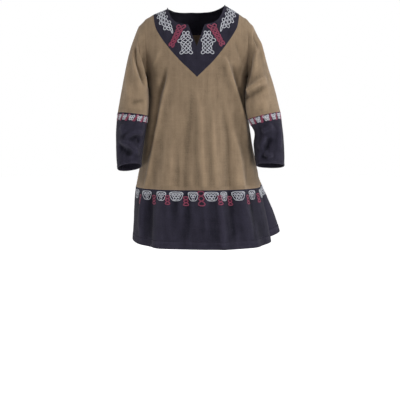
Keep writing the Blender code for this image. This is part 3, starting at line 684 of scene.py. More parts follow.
def plain_sleeve_point(rows, side, around, at):
    around, at = np.broadcast_arrays(np.asarray(around, float), np.asarray(at, float))
    hole = body_point(*armhole_point(around, side))
    ring = sleeve_ring(rows, around, at)
    hole = hole + SEAM_GAP * unit(ring - hole)
    return hole + (ring - hole) * np.clip(at, 0, 1)[..., None]


def sleeve_creases(rows):
    """The sleeve's crease table with its lines in metres."""
    scale = np.array([SLEEVE_AROUND / 360, SLEEVE_SECTION])
    creases = LEFT_SLEEVE_CREASES if rows is LEFT_SLEEVE else RIGHT_SLEEVE_CREASES
    return [(SLEEVE_CREASE_DEPTH * depth, *sizes, np.asarray(line, float) * scale)
            for depth, *sizes, line in creases]


def sleeve_point(rows, side, around, at):
    """A point of a sleeve's cloth with its creases, which fade out at the armhole seam."""
    around, at = np.broadcast_arrays(np.asarray(around, float), np.asarray(at, float))

    def place(first, second):
        return plain_sleeve_point(rows, side, first, second)

    point = place(around, at)
    normal = side * slopes(place, around, np.maximum(at, 10 * DIFFERENCE), 360.0, 10.0)
    out = crease_height(around * SLEEVE_AROUND / 360, at * SLEEVE_SECTION, sleeve_creases(rows))
    out = out + ripple(point)
    off_inside = around - SLEEVE_INSIDE
    pressed = bell(off_inside, SLEEVE_PRESS_SPREAD) * ease((SLEEVE_PRESS_END - at) / SLEEVE_PRESS_FADE)
    under_arm = bell(off_inside, SLEEVE_SLACK_SPREAD) * bell(at - SLEEVE_SLACK_AT, SLEEVE_SLACK_LENGTH)
    out = out * ease(at / ARMHOLE_FADE) * (1 - SLEEVE_PRESS * pressed) + ARMPIT_SLACK * under_arm
    return point + normal * out[..., None]


# Shells of cloth

class Grid:
    """Points of one patch of cloth, with its place on the flat cloth, the middle it faces away from, how far
    each point is from a turned edge, and the width of that turn."""

    def __init__(self, points, cloth, middle, turn=None, turn_width=0.0):
        self.points = points
        self.cloth = cloth
        self.middle = np.broadcast_to(middle, points.shape)
        self.turn = np.full(points.shape[:2], 1.0) if turn is None else turn
        self.turn_width = turn_width


def standing_out(points, normal, edges):
    """How far each point stands out from the smoothed surface round it."""
    a, b = np.concatenate([edges, edges[:, ::-1]]).T
    pull = 1 / np.maximum(np.linalg.norm(points[a] - points[b], axis=1), DIFFERENCE)
    pulls = np.bincount(a, pull, len(points))
    level = points
    for _ in range(PAINTED_SHADE_SPREAD):
        near = np.stack([np.bincount(a, pull * level[b, k], len(points)) for k in range(3)], axis=1)
        level = (1 - PAINTED_SHADE_PULL) * level + PAINTED_SHADE_PULL * near / pulls[:, None]
    return np.sum((points - level) * normal, axis=1)


def shell(name, grids, material, lift=0.0, seam_pucker=SEAM_PUCKER):
    """One piece of cloth, from grids that are welded where they meet: two faces and rounded edges."""
    raw = np.concatenate([grid.points.reshape(-1, 3) for grid in grids])
    cloth = np.concatenate([grid.cloth.reshape(-1, 2) for grid in grids])
    turn = np.concatenate([grid.turn.ravel() for grid in grids])
    turn_width = max(grid.turn_width for grid in grids)
    places = np.round(raw / WELD).astype(np.int64)
    _, first, index = np.unique(places, axis=0, return_index=True, return_inverse=True)
    index = index.ravel()
    points, turn = raw[first], turn[first]
    faces = []
    start = 0
    for grid in grids:
        rows, columns = grid.points.shape[:2]
        cells = start + np.arange(rows * columns).reshape(rows, columns)
        quads = np.stack([cells[:-1, :-1], cells[:-1, 1:], cells[1:, 1:], cells[1:, :-1]], axis=-1)
        quads = quads.reshape(-1, 4)
        corners = raw[quads]
        facing = np.cross(corners[:, 2] - corners[:, 0], corners[:, 3] - corners[:, 1])
        away = corners.mean(axis=1) - grid.middle.reshape(-1, 3)[quads - start].mean(axis=1)
        if np.sum(unit(facing) * unit(away)) < 0:
            quads = quads[:, ::-1]
        faces.append(quads)
        start += rows * columns
    faces = np.concatenate(faces)
    welded = index[faces]

    def normals():
        corners = points[welded]
        facing = np.cross(corners[:, 2] - corners[:, 0], corners[:, 3] - corners[:, 1])
        total = np.zeros_like(points)
        for k in range(4):
            np.add.at(total, welded[:, k], facing)
        return unit(total)

    sides = {}
    for face, ends in zip(faces, welded):
        for k in range(4):
            a, b = ends[k], ends[(k + 1) % 4]
            if a != b:
                sides.setdefault((min(a, b), max(a, b)), []).append((a, b, face[k], face[(k + 1) % 4]))
    rim = [uses[0] for uses in sides.values() if len(uses) == 1]
    rim_ends = np.array([(a, b) for a, b, _, _ in rim])

    # Relief along the seams and turned edges
    tree = KDTree(RIM_PLACES * len(rim_ends))
    for number, (a, b) in enumerate(rim_ends):
        for k in range(RIM_PLACES):
            tree.insert(points[a] + (points[b] - points[a]) * (k / RIM_PLACES), RIM_PLACES * number + k)
    tree.balance()
    to_edge = np.array([tree.find(point)[2] for point in points])
    pucker = noise(points / PUCKER_SIZE, PUCKER_SEED) * bell(to_edge, PUCKER_REACH)
    allowance = ALLOWANCE_HEIGHT * ease((ALLOWANCE_WIDTH - to_edge) / ALLOWANCE_FADE)
    relief = lift + seam_pucker * pucker + np.where(turn < turn_width * TURN_CLEAR, 0, allowance)
    thick = np.full(len(points), CLOTH)
    if turn_width:
        inside = ease((turn_width - turn) / TURN_FADE)
        relief = relief + TURN_RISE * inside - STITCH_SINK * bell(turn - turn_width, STITCH_SINK_WIDTH)
        relief = relief + TURN_RISE * noise(points / np.array(TURN_CRUMPLE), TURN_SEED) * inside
        thick = thick + TURN_THICKNESS * inside
    points = points + normals() * relief[:, None]
    normal = normals()

    # Rounded edges
    out = np.zeros_like(points)
    for a, b, _, _ in rim:
        side = unit(np.cross(points[b] - points[a], normal[a] + normal[b]))
        out[a] += side
        out[b] += side
    on_rim = np.unique(rim_ends)
    out[on_rim] = unit(out[on_rim])
    half = thick[:, None] / 2
    centre = points - normal * half - out * half
    outer = points.copy()
    inner = points - normal * thick[:, None]
    outer[on_rim] = (centre + normal * half)[on_rim]
    inner[on_rim] = (centre - normal * half)[on_rim]
    count = len(points)
    rim_number = {vertex: k for k, vertex in enumerate(on_rim)}
    rings = []
    for k in range(1, RIM_STEPS):
        turn_by = math.pi / 2 - math.pi * k / RIM_STEPS
        ring = centre + normal * half * math.sin(turn_by) + out * half * math.cos(turn_by)
        rings.append(ring[on_rim])
    vertices = np.concatenate([outer, inner, *rings])

    # Faces with their places on the cloth and in the bake's map
    low, high = cloth.min(axis=0), cloth.max(axis=0)
    wide, tall = high - low
    scale = 1 / max(2 * (wide + BAKE_GAP), tall + BAKE_RIM)
    flat = (cloth - low) * scale
    inner_step = (wide + BAKE_GAP) * scale
    all_faces, all_cloth, all_bake = [], [], []

    def add(corner_indices, corner_cloth, corner_bake):
        kept = [k for k in range(4) if corner_indices[k] != corner_indices[k - 1]]
        if len(kept) >= 3:
            all_faces.append([int(corner_indices[k]) for k in kept])
            all_cloth.extend(corner_cloth[k] for k in kept)
            all_bake.extend(corner_bake[k] for k in kept)

    lifted = flat * np.array([1, BAKE_HEIGHT]) + np.array([0, BAKE_FOOT])
    for face, ends in zip(faces, welded):
        add(ends, cloth[face], lifted[face])
    for face, ends in zip(faces, welded):
        add(ends[::-1] + count, cloth[face[::-1]], lifted[face[::-1]] + np.array([inner_step, 0]))

    def stations(end):
        """Vertices round the edge at one of its points, from the outer face to the inner face."""
        on_rings = [2 * count + k * len(on_rim) + rim_number[end] for k in range(RIM_STEPS - 1)]
        return [end, *on_rings, end + count]

    for number, (a, b, raw_a, raw_b) in enumerate(rim):
        stations_a, stations_b = stations(a), stations(b)
        left, right = number / len(rim), (number + 1) / len(rim)
        for k in range(RIM_STEPS):
            foot, top = BAKE_RIM * k / RIM_STEPS, BAKE_RIM * (k + 1) / RIM_STEPS
            add([stations_a[k], stations_a[k + 1], stations_b[k + 1], stations_b[k]],
                [cloth[raw_a], cloth[raw_a], cloth[raw_b], cloth[raw_b]],
                [(left, foot), (left, top), (right, top), (right, foot)])
    patches = WORN_EDGE_LEAST + (1 - WORN_EDGE_LEAST) * noise(points / WORN_EDGE_SIZE, WEAR_SEED)
    wear_and_shade = np.exp(-to_edge / WORN_EDGE) * patches
    if turn_width:
        wear_and_shade = wear_and_shade + WORN_FOLD * bell(turn - turn_width, WORN_FOLD_WIDTH)
        wear_and_shade = wear_and_shade + WORN_TURN * ease((turn_width - turn) / WORN_TURN_FADE)
    # Painted highlights where the cloth stands out and painted shade where it sinks, on top of the edges
    # faded by use, fading in away from the edges
    stands = standing_out(points, normal, np.array(list(sides)))
    stands = stands * ease((to_edge - EDGE_CLEAR) / EDGE_CLEAR)
    wear_and_shade = np.clip(wear_and_shade, 0, 1) + PAINTED_SHADE_SHARE * np.clip(stands / PAINTED_SHADE_HEIGHT, -1, 1)
    wear_and_shade = np.clip(np.concatenate([wear_and_shade, wear_and_shade, *[wear_and_shade[on_rim] + WORN_TURN] * (RIM_STEPS - 1)]), -1, 1)
    piece = mesh_piece(name, vertices, all_faces, all_cloth, all_bake, material, wear_and_shade)
    outer_faces = [[int(k) for k in dict.fromkeys(ends.tolist())] for ends in welded]
    outer_faces = [face for face in outer_faces if len(face) >= 3]
    ground = BVHTree.FromPolygons([tuple(point) for point in outer], outer_faces)
    return piece, ground


def mesh_piece(name, vertices, faces, cloth, bake, material, wear_and_shade=None):
    mesh = bpy.data.meshes.new(name)
    mesh.from_pydata([tuple(point) for point in vertices], [], faces)
    for map_name, values in (("Cloth", cloth), ("OFBake", bake)):
        layer = mesh.uv_layers.new(name=map_name)
        layer.data.foreach_set("uv", np.asarray(values, dtype=np.float32).ravel())
    # The attribute holds edges faded by use together with painted highlights on ridges and painted shade in
    # troughs
    if wear_and_shade is not None:
        layer = mesh.attributes.new("wear_and_shade", "FLOAT", "POINT")
        layer.data.foreach_set("value", np.asarray(wear_and_shade, dtype=np.float32))
    mesh.shade_smooth()
    mesh.materials.append(material)
    mesh.validate()
    piece = bpy.data.objects.new(name, mesh)
    bpy.context.scene.collection.objects.link(piece)
    return piece


def arc_table(level):
    """Angles from the middle of the front to the side with the length of the row up to each."""
    angles = np.linspace(0, 180, ROW_STEPS + 1)
    return angles, lengths_along(plain_body_point(angles, np.full_like(angles, level)))


def body_cloth(angle, level):
    """Place of a point of the body on the flat cloth: across from the middle and up."""
    near = np.where(level > 1, 2 - level, level)
    angles, chest = arc_table(0.0)
    lift = np.clip(near, 0, 1) * math.pi / 2
    flatness = np.abs(np.cos(lift)) ** (2 / SHOULDER_DEPTH_POWER)
    from_middle = np.where(np.abs(angle) > 90, np.maximum(180 - np.abs(angle), 0), np.abs(angle))
    width = row_half_width(near)
    straight = width * np.sin(np.radians(from_middle)) ** (2 / BODY_ROUNDNESS)
    round_chest = np.interp(from_middle, angles, chest) * width / ARMHOLE_HALF_WIDTH
    across = straight + (round_chest - straight) * flatness
    levels = np.linspace(0, 1, RISE_STEPS)
    climb = lengths_along(plain_body_point(np.full_like(levels, RISE_ANGLE), levels))
    up = np.where(near > 0, np.interp(near, levels, climb), near)
    up = np.where(level > 1, 2 * climb[-1] - up, up)
    return np.stack([np.copysign(across, angle), up], axis=-1)


def between(inner, outer, share):
    return inner[:, None] + (outer - inner)[:, None] * share


def filled(foot, top, centre, side):
    """A grid of values between its four edges."""
    up = np.linspace(0, 1, len(centre))[:, None]
    out = np.linspace(0, 1, len(foot))[None, :]
    rows = foot[None, :] * (1 - up) + top[None, :] * up
    columns = centre[:, None] * (1 - out) + side[:, None] * out
    low = foot[0] * (1 - out) + foot[-1] * out
    high = top[0] * (1 - out) + top[-1] * out
    return rows + columns - low * (1 - up) - high * up


def side_seam_step(level):
    depth = body_size("front", ARMPIT_Z + np.minimum(level, 0))
    return math.degrees(1) * (SEAM_GAP / 2 / depth) ** (BODY_ROUNDNESS / 2)


def panel_grid(behind):
    """Angles and levels of half of the front or back panel, from the hem seam to the shoulder."""
    middle, to_side = (180.0, 1) if behind else (0.0, -1)
    low_levels = np.append(np.linspace(HEM_BORDER_SEAM_Z + SEAM_GAP / 2 - ARMPIT_Z, BELOW_YOKE, BODY_ROWS), 0)
    share = np.linspace(0, 1, BODY_STEPS + 1)
    low_angles = between(np.full(BODY_ROWS + 1, middle), 90 + to_side * side_seam_step(low_levels), share)
    side_angles, side_levels = armhole_point(armhole_turns(behind), 1)
    side_angles[0] = low_angles[-1, -1]
    yoke_angles, yoke_levels = edge_line(YOKE_EDGE, 0)
    if behind:
        yoke_angles = 180 - yoke_angles[ARMHOLE_STEPS:][::-1]
        yoke_levels = 2 - yoke_levels[ARMHOLE_STEPS:][::-1]
        centre_angles = np.full(ARMHOLE_STEPS + 1, middle)
        centre_levels = np.linspace(0, yoke_levels[0], ARMHOLE_STEPS + 1)
        on_shoulder = np.linspace(yoke_angles[-1], side_angles[-1], BODY_STEPS - YOKE_BACK_STEPS + 1)
        top_angles = np.concatenate([yoke_angles, on_shoulder[1:]])
        top_levels = np.concatenate([yoke_levels, np.ones(BODY_STEPS - YOKE_BACK_STEPS)])
    else:
        centre_angles = yoke_angles[: ARMHOLE_STEPS + 1]
        centre_levels = yoke_levels[: ARMHOLE_STEPS + 1]
        top_angles = np.linspace(centre_angles[-1], side_angles[-1], BODY_STEPS + 1)
        top_levels = np.ones(BODY_STEPS + 1)
    foot_levels = np.linspace(centre_levels[0], 0, BODY_STEPS + 1)
    high_angles = filled(low_angles[-1], top_angles, centre_angles, side_angles)
    high_levels = filled(foot_levels, top_levels, centre_levels, side_levels)
    angle = np.concatenate([low_angles[:-1], high_angles])
    level = np.concatenate([np.repeat(low_levels[:-1, None], BODY_STEPS + 1, axis=1), high_levels])
    shoulder_level = 1 - (SEAM_GAP / ARMHOLE_HALF_WIDTH) ** (SHOULDER_DEPTH_POWER / 2)
    return angle, np.minimum(level, shoulder_level)


def body_middle(points):
    """Places inside the body that its cloth faces away from."""
    z = np.minimum(points[..., 2], BODY_MIDDLE_TOP)
    return np.stack([np.full_like(z, BODY_MIDDLE_X), np.zeros_like(z), z], axis=-1)


def build_panel(name, behind, material):
    angle, level = panel_grid(behind)
    grids = []
    for side in (1, -1):
        points = body_point(side * angle, level)
        grids.append(Grid(points, body_cloth(side * angle, level), body_middle(points)))
    return shell(name, grids, material)


def yoke_place(along, share):
    """Angle and level on the yoke, from 0 at the middle of the front to 1 at the middle of the back, and from
    0 at the neck edge to 1 at the outer edge."""
    steps = np.linspace(0, 1, ARMHOLE_STEPS + YOKE_BACK_STEPS + 1)
    neck_angle, neck_level = edge_line(NECK_EDGE, SLIT_ROW)
    out_angle, out_level = edge_line(YOKE_EDGE, 0)
    neck = np.interp(along, steps, neck_angle), np.interp(along, steps, neck_level)
    out = np.interp(along, steps, out_angle), np.interp(along, steps, out_level)
    return neck[0] + (out[0] - neck[0]) * share, neck[1] + (out[1] - neck[1]) * share


def build_yoke(name, material):
    neck_angle, neck_level = edge_line(NECK_EDGE, SLIT_ROW)
    out_angle, out_level = edge_line(YOKE_EDGE, 0)
    share = YOKE_LAP * (1 - np.cos(np.linspace(0, math.pi, YOKE_ROWS + 1))) / 2
    angle = between(neck_angle, out_angle, share)
    level = between(neck_level, out_level, share)
    grids = []
    for side in (1, -1):
        points = body_point(side * angle, level)
        widths = np.linalg.norm(points[:, -1] - points[:, 0], axis=-1)
        turn = widths[:, None] * share[None, :]
        grids.append(Grid(points, body_cloth(side * angle, level), body_middle(points), turn, NECK_TURN))
    return shell(name, grids, material, lift=YOKE_LIFT, seam_pucker=YOKE_PUCKER)


def hem_z(angle):
    table = np.array(HEM_EDGE)
    return smooth(table[:, 0], table[:, 1], angle)


def turned_steps(length, turn):
    """Distances from a turned edge over a length, closer together at the edge and at the line of stitches."""
    near = np.array(EDGE_ROWS)
    last = turn - ROW_SPACING
    to_turn = np.linspace(TURN_ROWS_FROM, last, max(2, round((last - TURN_ROWS_FROM) / ROW_SPACING) + 1))
    at_turn = turn + np.array(STITCH_ROWS)
    beyond = np.linspace(turn + BEYOND_TURN, length, round((length - turn) / ROW_SPACING))
    return np.concatenate([near, to_turn[to_turn > TURN_ROWS_LEAST], at_turn, beyond])


def build_hem(name, behind, material):
    top = HEM_BORDER_SEAM_Z - SEAM_GAP / 2
    edge = 90.0 - float(side_seam_step(top - ARMPIT_Z))
    angle = np.linspace(-edge, edge, HEM_STEPS + 1) + (180.0 if behind else 0.0)
    wrapped = (angle + 180) % 360 - 180
    wrapped = np.where(wrapped == -180, 180, wrapped)
    foot = hem_z(wrapped)
    nominal = turned_steps(HEM_HEIGHT, HEM_TURN)
    even = HEM_TURN + HEM_EVEN
    over = np.clip((nominal - even) / (nominal[-1] - even), 0, 1)[:, None]
    up = np.where(over > 0, even + (top - foot - even)[None, :] * over, nominal[:, None])
    z = foot[None, :] + up
    angles = np.broadcast_to(wrapped, z.shape)
    points = body_point(angles, z - ARMPIT_Z)
    across = np.linspace(-HEM_CLOTH, HEM_CLOTH, len(angle))
    cloth = np.stack([np.broadcast_to(across, z.shape), z], axis=-1)
    return shell(name, [Grid(points, cloth, body_middle(points), up, HEM_TURN)], material, lift=SEWN_LIFT)


def build_sleeve(name, rows, side, lower, material):
    half_gap = SEAM_GAP / 2 / SLEEVE_SECTION
    if lower:
        length = (len(rows) - SLEEVE_SEAM_SECTION - half_gap) * SLEEVE_SECTION
        distance = turned_steps(length, CUFF_TURN)[::-1]
        at = len(rows) - distance / SLEEVE_SECTION
    else:
        at = np.linspace(0, SLEEVE_SEAM_SECTION - half_gap, UPPER_SLEEVE_ROWS)
        distance = np.full_like(at, 1.0)
    around = np.broadcast_to(np.linspace(0, 360, SLEEVE_TURNS + 1), (len(at), SLEEVE_TURNS + 1))
    wrapped = around.copy()
    wrapped[:, -1] = 0
    ats = np.broadcast_to(at[:, None], around.shape)
    points = sleeve_point(rows, side, wrapped, ats)
    cloth = np.stack([side * around * SLEEVE_AROUND / 360, -ats * SLEEVE_SECTION], axis=-1)
    middle = points.mean(axis=1, keepdims=True)
    turn = np.broadcast_to(distance[:, None], around.shape)
    grid = Grid(points, cloth, middle, turn, CUFF_TURN if lower else 0.0)
    return shell(name, [grid], material, lift=SEWN_LIFT if lower else 0.0)


# Materials

def plug(tree, node, values):
    for socket, value in values.items():
        if isinstance(value, bpy.types.NodeSocket):
            tree.links.new(value, node.inputs[socket])
        else:
            node.inputs[socket].default_value = value
    return node


def maths(tree, operation, *values):
    node = tree.nodes.new("ShaderNodeMath")
    node.operation = operation
    plug(tree, node, dict(enumerate(values)))
    return node.outputs[0]


def texture(tree, vector, scale, detail=2.0):
    values = {"Vector": vector, "Scale": scale, "Detail": detail}
    return plug(tree, tree.nodes.new("ShaderNodeTexNoise"), values).outputs["Fac"]


def grain(tree, u, v, fineness, detail=2.0):
    """Noise with its own fineness across and along the cloth."""
    x, y = (maths(tree, "MULTIPLY", place, fine) for place, fine in zip((u, v), fineness))
    vector = plug(tree, tree.nodes.new("ShaderNodeCombineXYZ"), {"X": x, "Y": y})
    return texture(tree, vector.outputs[0], 1.0, detail)


def summed(tree, total, terms):
    """A start value with terms added: each value's difference from its middle, times its share."""
    for value, middle, share in terms:
        total = maths(tree, "MULTIPLY_ADD", maths(tree, "SUBTRACT", value, middle), share, total)
    return total


def new_material(name):
    """A material with its node tree, its shader, and the places on the flat cloth and in space."""
    made = bpy.data.materials.new(name)
    made.use_nodes = True
    tree = made.node_tree
    uv = tree.nodes.new("ShaderNodeUVMap")
    uv.uv_map = "Cloth"
    parts = plug(tree, tree.nodes.new("ShaderNodeSeparateXYZ"), {0: uv.outputs[0]})
    place = tree.nodes.new("ShaderNodeTexCoord").outputs["Object"]
    return made, tree, tree.nodes["Principled BSDF"], parts.outputs[0], parts.outputs[1], place


def finish_shader(tree, shader, factor, colours, rough, bump, values):
    """Colour from a factor between two colours, roughness, relief, and the values that are even all over."""
    mix = tree.nodes.new("ShaderNodeMix")
    mix.data_type = "RGBA"
    clamped = maths(tree, "MAXIMUM", maths(tree, "MINIMUM", factor, 1.0), 0.0)
    plug(tree, mix, {0: clamped, 6: (*colours[0], 1), 7: (*colours[1], 1)})
    raised = plug(tree, tree.nodes.new("ShaderNodeBump"), bump)
    linked = {"Base Color": mix.outputs[2], "Roughness": rough, "Normal": raised.outputs[0]}
    plug(tree, shader, {**linked, **values})


def woven_cloth(name, dark, light, mottle, wear_and_shade_share, sheen, gloss):
    """Plain-woven cotton: threads over and under, slubs both ways, mottled dye, edges faded by use, and
    painted highlights on the ridges and painted shade in the troughs.
    """
    made, tree, shader, u, v, place = new_material(name)
    a, b = (maths(tree, "SINE", maths(tree, "MULTIPLY", way, math.pi / THREAD_PITCH)) for way in (u, v))
    over = maths(tree, "GREATER_THAN", maths(tree, "MULTIPLY", a, b), 0.0)
    size_a, size_b = maths(tree, "ABSOLUTE", a), maths(tree, "ABSOLUTE", b)
    warp, weft = (maths(tree, "MULTIPLY", maths(tree, "SQRT", across),
                        maths(tree, "MULTIPLY_ADD", along, THREAD_ARCH, 1 - THREAD_ARCH))
                  for across, along in ((size_a, size_b), (size_b, size_a)))
    height = maths(tree, "MULTIPLY_ADD", over, maths(tree, "SUBTRACT", warp, weft), weft)
    warp_tone, weft_tone = grain(tree, u, v, WARP_TONE), grain(tree, u, v, WEFT_TONE)
    tone = maths(tree, "MULTIPLY_ADD", over, maths(tree, "SUBTRACT", warp_tone, weft_tone), weft_tone)
    slub = maths(tree, "ADD", grain(tree, u, v, WARP_SLUB), grain(tree, u, v, WEFT_SLUB))
    cloud = maths(tree, "ADD", texture(tree, place, CLOUDS, 3.0), texture(tree, place, FINE_CLOUDS, 4.0))
    # The attribute adds edges faded by use, painted highlights on the ridges and painted shade in the troughs
    wear_and_shade_attribute = tree.nodes.new("ShaderNodeAttribute")
    wear_and_shade_attribute.attribute_name = "wear_and_shade"
    # The weave's relief also sets the colour: painted shade in the hollows between the threads and a painted
    # highlight on their crowns
    factor = summed(tree, CLOTH_TONE, (
        (tone, 0.5, 1.2 * THREAD_CONTRAST),
        (slub, 1.0, THREAD_CONTRAST),
        (cloud, 1.0, mottle),
        (grain(tree, u, v, STREAKS, 3.0), 0.5, 1.5 * mottle),
        (grain(tree, u, v, FLECKS, 1.0), 0.5, mottle),
        (height, 0.62, 0.35),
        (wear_and_shade_attribute.outputs["Fac"], 0.0, wear_and_shade_share),
    ))
    relief = summed(tree, height, (
        (grain(tree, u, v, FUZZ, 3.0), 0.0, 0.35),
        (texture(tree, place, CRINKLES, 4.0), 0.0, 2.4),
        (slub, 0.0, 0.5),
    ))
    finish_shader(tree, shader, factor, (dark, light), maths(tree, "MULTIPLY_ADD", tone, -0.12, 0.96),
                  {"Strength": 0.55, "Distance": 0.0005, "Height": relief},
                  {"Specular IOR Level": gloss, "Sheen Weight": sheen, "Sheen Roughness": 0.6})
    return made


def satin_thread(name, dark, light, sheen):
    """Satin stitches: fine threads laid across the strand, a little slanted and uneven."""
    made, tree, shader, u, v, place = new_material(name)
    slant = maths(tree, "MULTIPLY_ADD", v, 0.4, u)
    wave = maths(tree, "SINE", maths(tree, "MULTIPLY", slant, math.pi / SATIN_PITCH))
    thread = maths(tree, "ABSOLUTE", wave)
    tone = grain(tree, slant, v, SATIN_TONE)
    # Lighter on each thread's crown and darker in the grooves between threads: painted highlight and painted
    # shade
    factor = summed(tree, 0.2, (
        (thread, 0.0, 0.35),
        (tone, 0.5, 0.9),
        (texture(tree, place, SATIN_CLOUDS, 3.0), 0.5, 0.9),
    ))
    finish_shader(tree, shader, factor, (dark, light), maths(tree, "MULTIPLY_ADD", tone, 0.2, 0.45),
                  {"Strength": 0.7, "Distance": 0.0003, "Height": summed(tree, thread, ((tone, 0.0, 0.6),))},
                  {"Sheen Weight": sheen, "Sheen Roughness": 0.4})
    return made


KHAKI = woven_cloth("khaki_cloth", (0.100, 0.070, 0.043), (0.256, 0.182, 0.115),
                    mottle=0.40, wear_and_shade_share=0.35, sheen=0.08, gloss=0.20)
DARK = woven_cloth("dark_cloth", (0.0040, 0.0037, 0.0082), (0.0245, 0.0220, 0.0365),
                   mottle=0.45, wear_and_shade_share=0.45, sheen=0.04, gloss=0.08)
PALE_THREAD = satin_thread("pale_thread", (0.26, 0.268, 0.295), (0.55, 0.565, 0.61), sheen=0.08)
RED_THREAD = satin_thread("red_thread", (0.090, 0.004, 0.020), (0.240, 0.011, 0.058), sheen=0.05)


# Embroidery and stitches

def left_of(way):
    return np.stack([-way[..., 1], way[..., 0]], axis=-1)


def bezier(stations):
    """A smooth line through places that each have a heading."""
    t = np.linspace(0, 1, CURVE_STEPS + 1)[:, None]
    line = []
    for (start, leave), (end, arrive) in zip(stations[:-1], stations[1:]):
        handle = CURVE_PULL * np.linalg.norm(end - start)
        a, b = start + handle * leave, end - handle * arrive
        curve = start * (1 - t) ** 3 + 3 * a * t * (1 - t) ** 2 + 3 * b * t ** 2 * (1 - t) + end * t ** 3
        line.append(curve if not line else curve[1:])
    return np.concatenate(line)


def rows_graph(rows):
    """Points of a motif in rows, each joined to its neighbours in its own row and the next."""
    places, edges, last = [], [], []
    for height, across in rows:
        row = list(range(len(places), len(places) + len(across)))
        places.extend((x, height) for x in across)
        edges.extend(zip(row[:-1], row[1:]))
        if len(row) == len(last):
            edges.extend(zip(last, row))
        elif last:
            short, long = sorted((last, row), key=len)
            edges.extend(zip(short, long[:-1]))
            edges.extend(zip(short, long[1:]))
        last = row
    return np.array(places, float), edges


def knot(rows, width, height):
    """Strands of an interlaced knot of a given size on the graph of its rows: each passes over the one that
    it crosses at its middle and ends under those at its two ends."""
    places, edges = rows_graph(rows)
    spokes = [[] for _ in places]
    for number, (a, b) in enumerate(edges):
        for start, end in ((a, b), (b, a)):
            way = places[end] - places[start]
            spokes[start].append((math.atan2(way[1], way[0]), number, np.linalg.norm(way) / 2))
    middles = [(places[a] + places[b]) / 2 for a, b in edges]

    def heading(turn):
        return np.array([math.cos(turn), math.sin(turn)])

    def corner(place, number):
        ring = sorted(spokes[place])
        k = [spoke[1] for spoke in ring].index(number)
        first, _, reach = ring[k]
        second, next_number, next_reach = ring[(k + 1) % len(ring)]
        turn = (second - first) % (2 * math.pi) or 2 * math.pi
        leave, arrive = heading(first), heading(second)
        stations = [(middles[number], unit(left_of(leave) - leave)),
                    (middles[next_number], unit(left_of(arrive) + arrive))]
        if turn > WIDE_TURN:
            away = heading(first + turn / 2)
            stations.insert(1, (places[place] + LOOP_REACH * (reach + next_reach) * away, left_of(away)))
        return bezier(stations)

    strands = [np.concatenate([corner(b, n)[::-1], corner(a, n)[1:]]) for n, (a, b) in enumerate(edges)]
    every = np.concatenate(strands)
    low, high = every.min(axis=0), every.max(axis=0)
    return [((strand - low) / (high - low) - 0.5) * (width, height) for strand in strands]


def spaced(line, cut, spacing):
    """Evenly spaced points of a line, without a cut length at each end."""
    run = lengths_along(line)
    cut = min(cut, run[-1] / 3)
    at = np.linspace(cut, run[-1] - cut, max(4, round((run[-1] - 2 * cut) / spacing) + 1))
    return points_at(line, run, at)


def sewn(name, strands, width, height, cut, ground, material):
    """Raised strands of thread on the cloth, from lines of points near it."""
    vertices, faces, cloth, bake = [], [], [], []
    across = width * np.array(STRAND_ACROSS)
    rise = np.array(STRAND_RISE)
    sides = len(across)
    cells = math.ceil(math.sqrt(len(strands)))
    for number, line in enumerate(strands):
        line = spaced(line, cut, STRAND_SPACING)
        hits = [ground.find_nearest(Vector(point)) for point in line]
        line = np.array([hit[0] for hit in hits])
        normal = np.array([hit[1] for hit in hits])
        normal = unit(normal + np.roll(normal, 1, axis=0) * (np.arange(len(line)) > 0)[:, None])
        way = unit(np.gradient(line, axis=0))
        side = unit(np.cross(normal, way))
        share = np.linspace(0, 1, len(line))
        crown = height * (STRAND_END + STRAND_SWELL * np.sin(math.pi * share))
        up = rise[None, :] * (crown + STRAND_SINK)[:, None] - STRAND_SINK
        ring = line[:, None] + side[:, None] * across[None, :, None] + normal[:, None] * up[..., None]
        start = len(vertices)
        vertices.extend(ring.reshape(-1, 3))
        run = share * lengths_along(line)[-1]
        corner = np.array([number % cells, number // cells]) / cells

        def in_cell(along, around, corner=corner):
            """Place in the strand's own cell of the bake's map."""
            return corner + np.array([along, around / sides * BAKE_RUN + BAKE_SIDE]) / cells

        for k in range(len(line) - 1):
            for s in range(sides):
                ends = (k, s), (k, s + 1), (k + 1, s + 1), (k + 1, s)
                faces.append([start + i * sides + j % sides for i, j in ends])
                cloth.extend((run[i], across[j % sides]) for i, j in ends)
                bake.extend(in_cell(share[i] * BAKE_RUN + BAKE_START, j) for i, j in ends)
        caps = ((start, range(sides - 1, -1, -1), 0, BAKE_FIRST_CAP),
                (start + (len(line) - 1) * sides, range(sides), run[-1], BAKE_LAST_CAP))
        for first, order, at, foot in caps:
            faces.append([first + s for s in order])
            cloth.extend((at, across[s]) for s in order)
            bake.extend(in_cell(foot + BAKE_CAP * rise[s], s) for s in order)
    return mesh_piece(name, vertices, faces, cloth, bake, material)


def couched(name, strands, width, ground, material):
    """Embroidered strands, with a small gap at each place where one ends under another."""
    return sewn(name, strands, width, THREAD_HEIGHT, width / 2 + THREAD_GAP, ground, material)


def dashes(line):
    """Stitches along a line."""
    run = lengths_along(line)
    count = int(run[-1] / (STITCH_LENGTH + STITCH_GAP))
    starts = np.arange(count) * run[-1] / count
    return [points_at(line, run, np.linspace(a, a + STITCH_LENGTH, STITCH_POINTS)) for a in starts]


def stitched(name, lines, ground, material):
    strands = [dash for line in lines for dash in dashes(line)]
    return sewn(name, strands, STITCH_WIDTH, STITCH_HEIGHT, 0.0, ground, material)


def moved(strands, place):
    every = place(*np.concatenate(strands).T)
    return np.split(every, np.cumsum([len(strand) for strand in strands])[:-1])


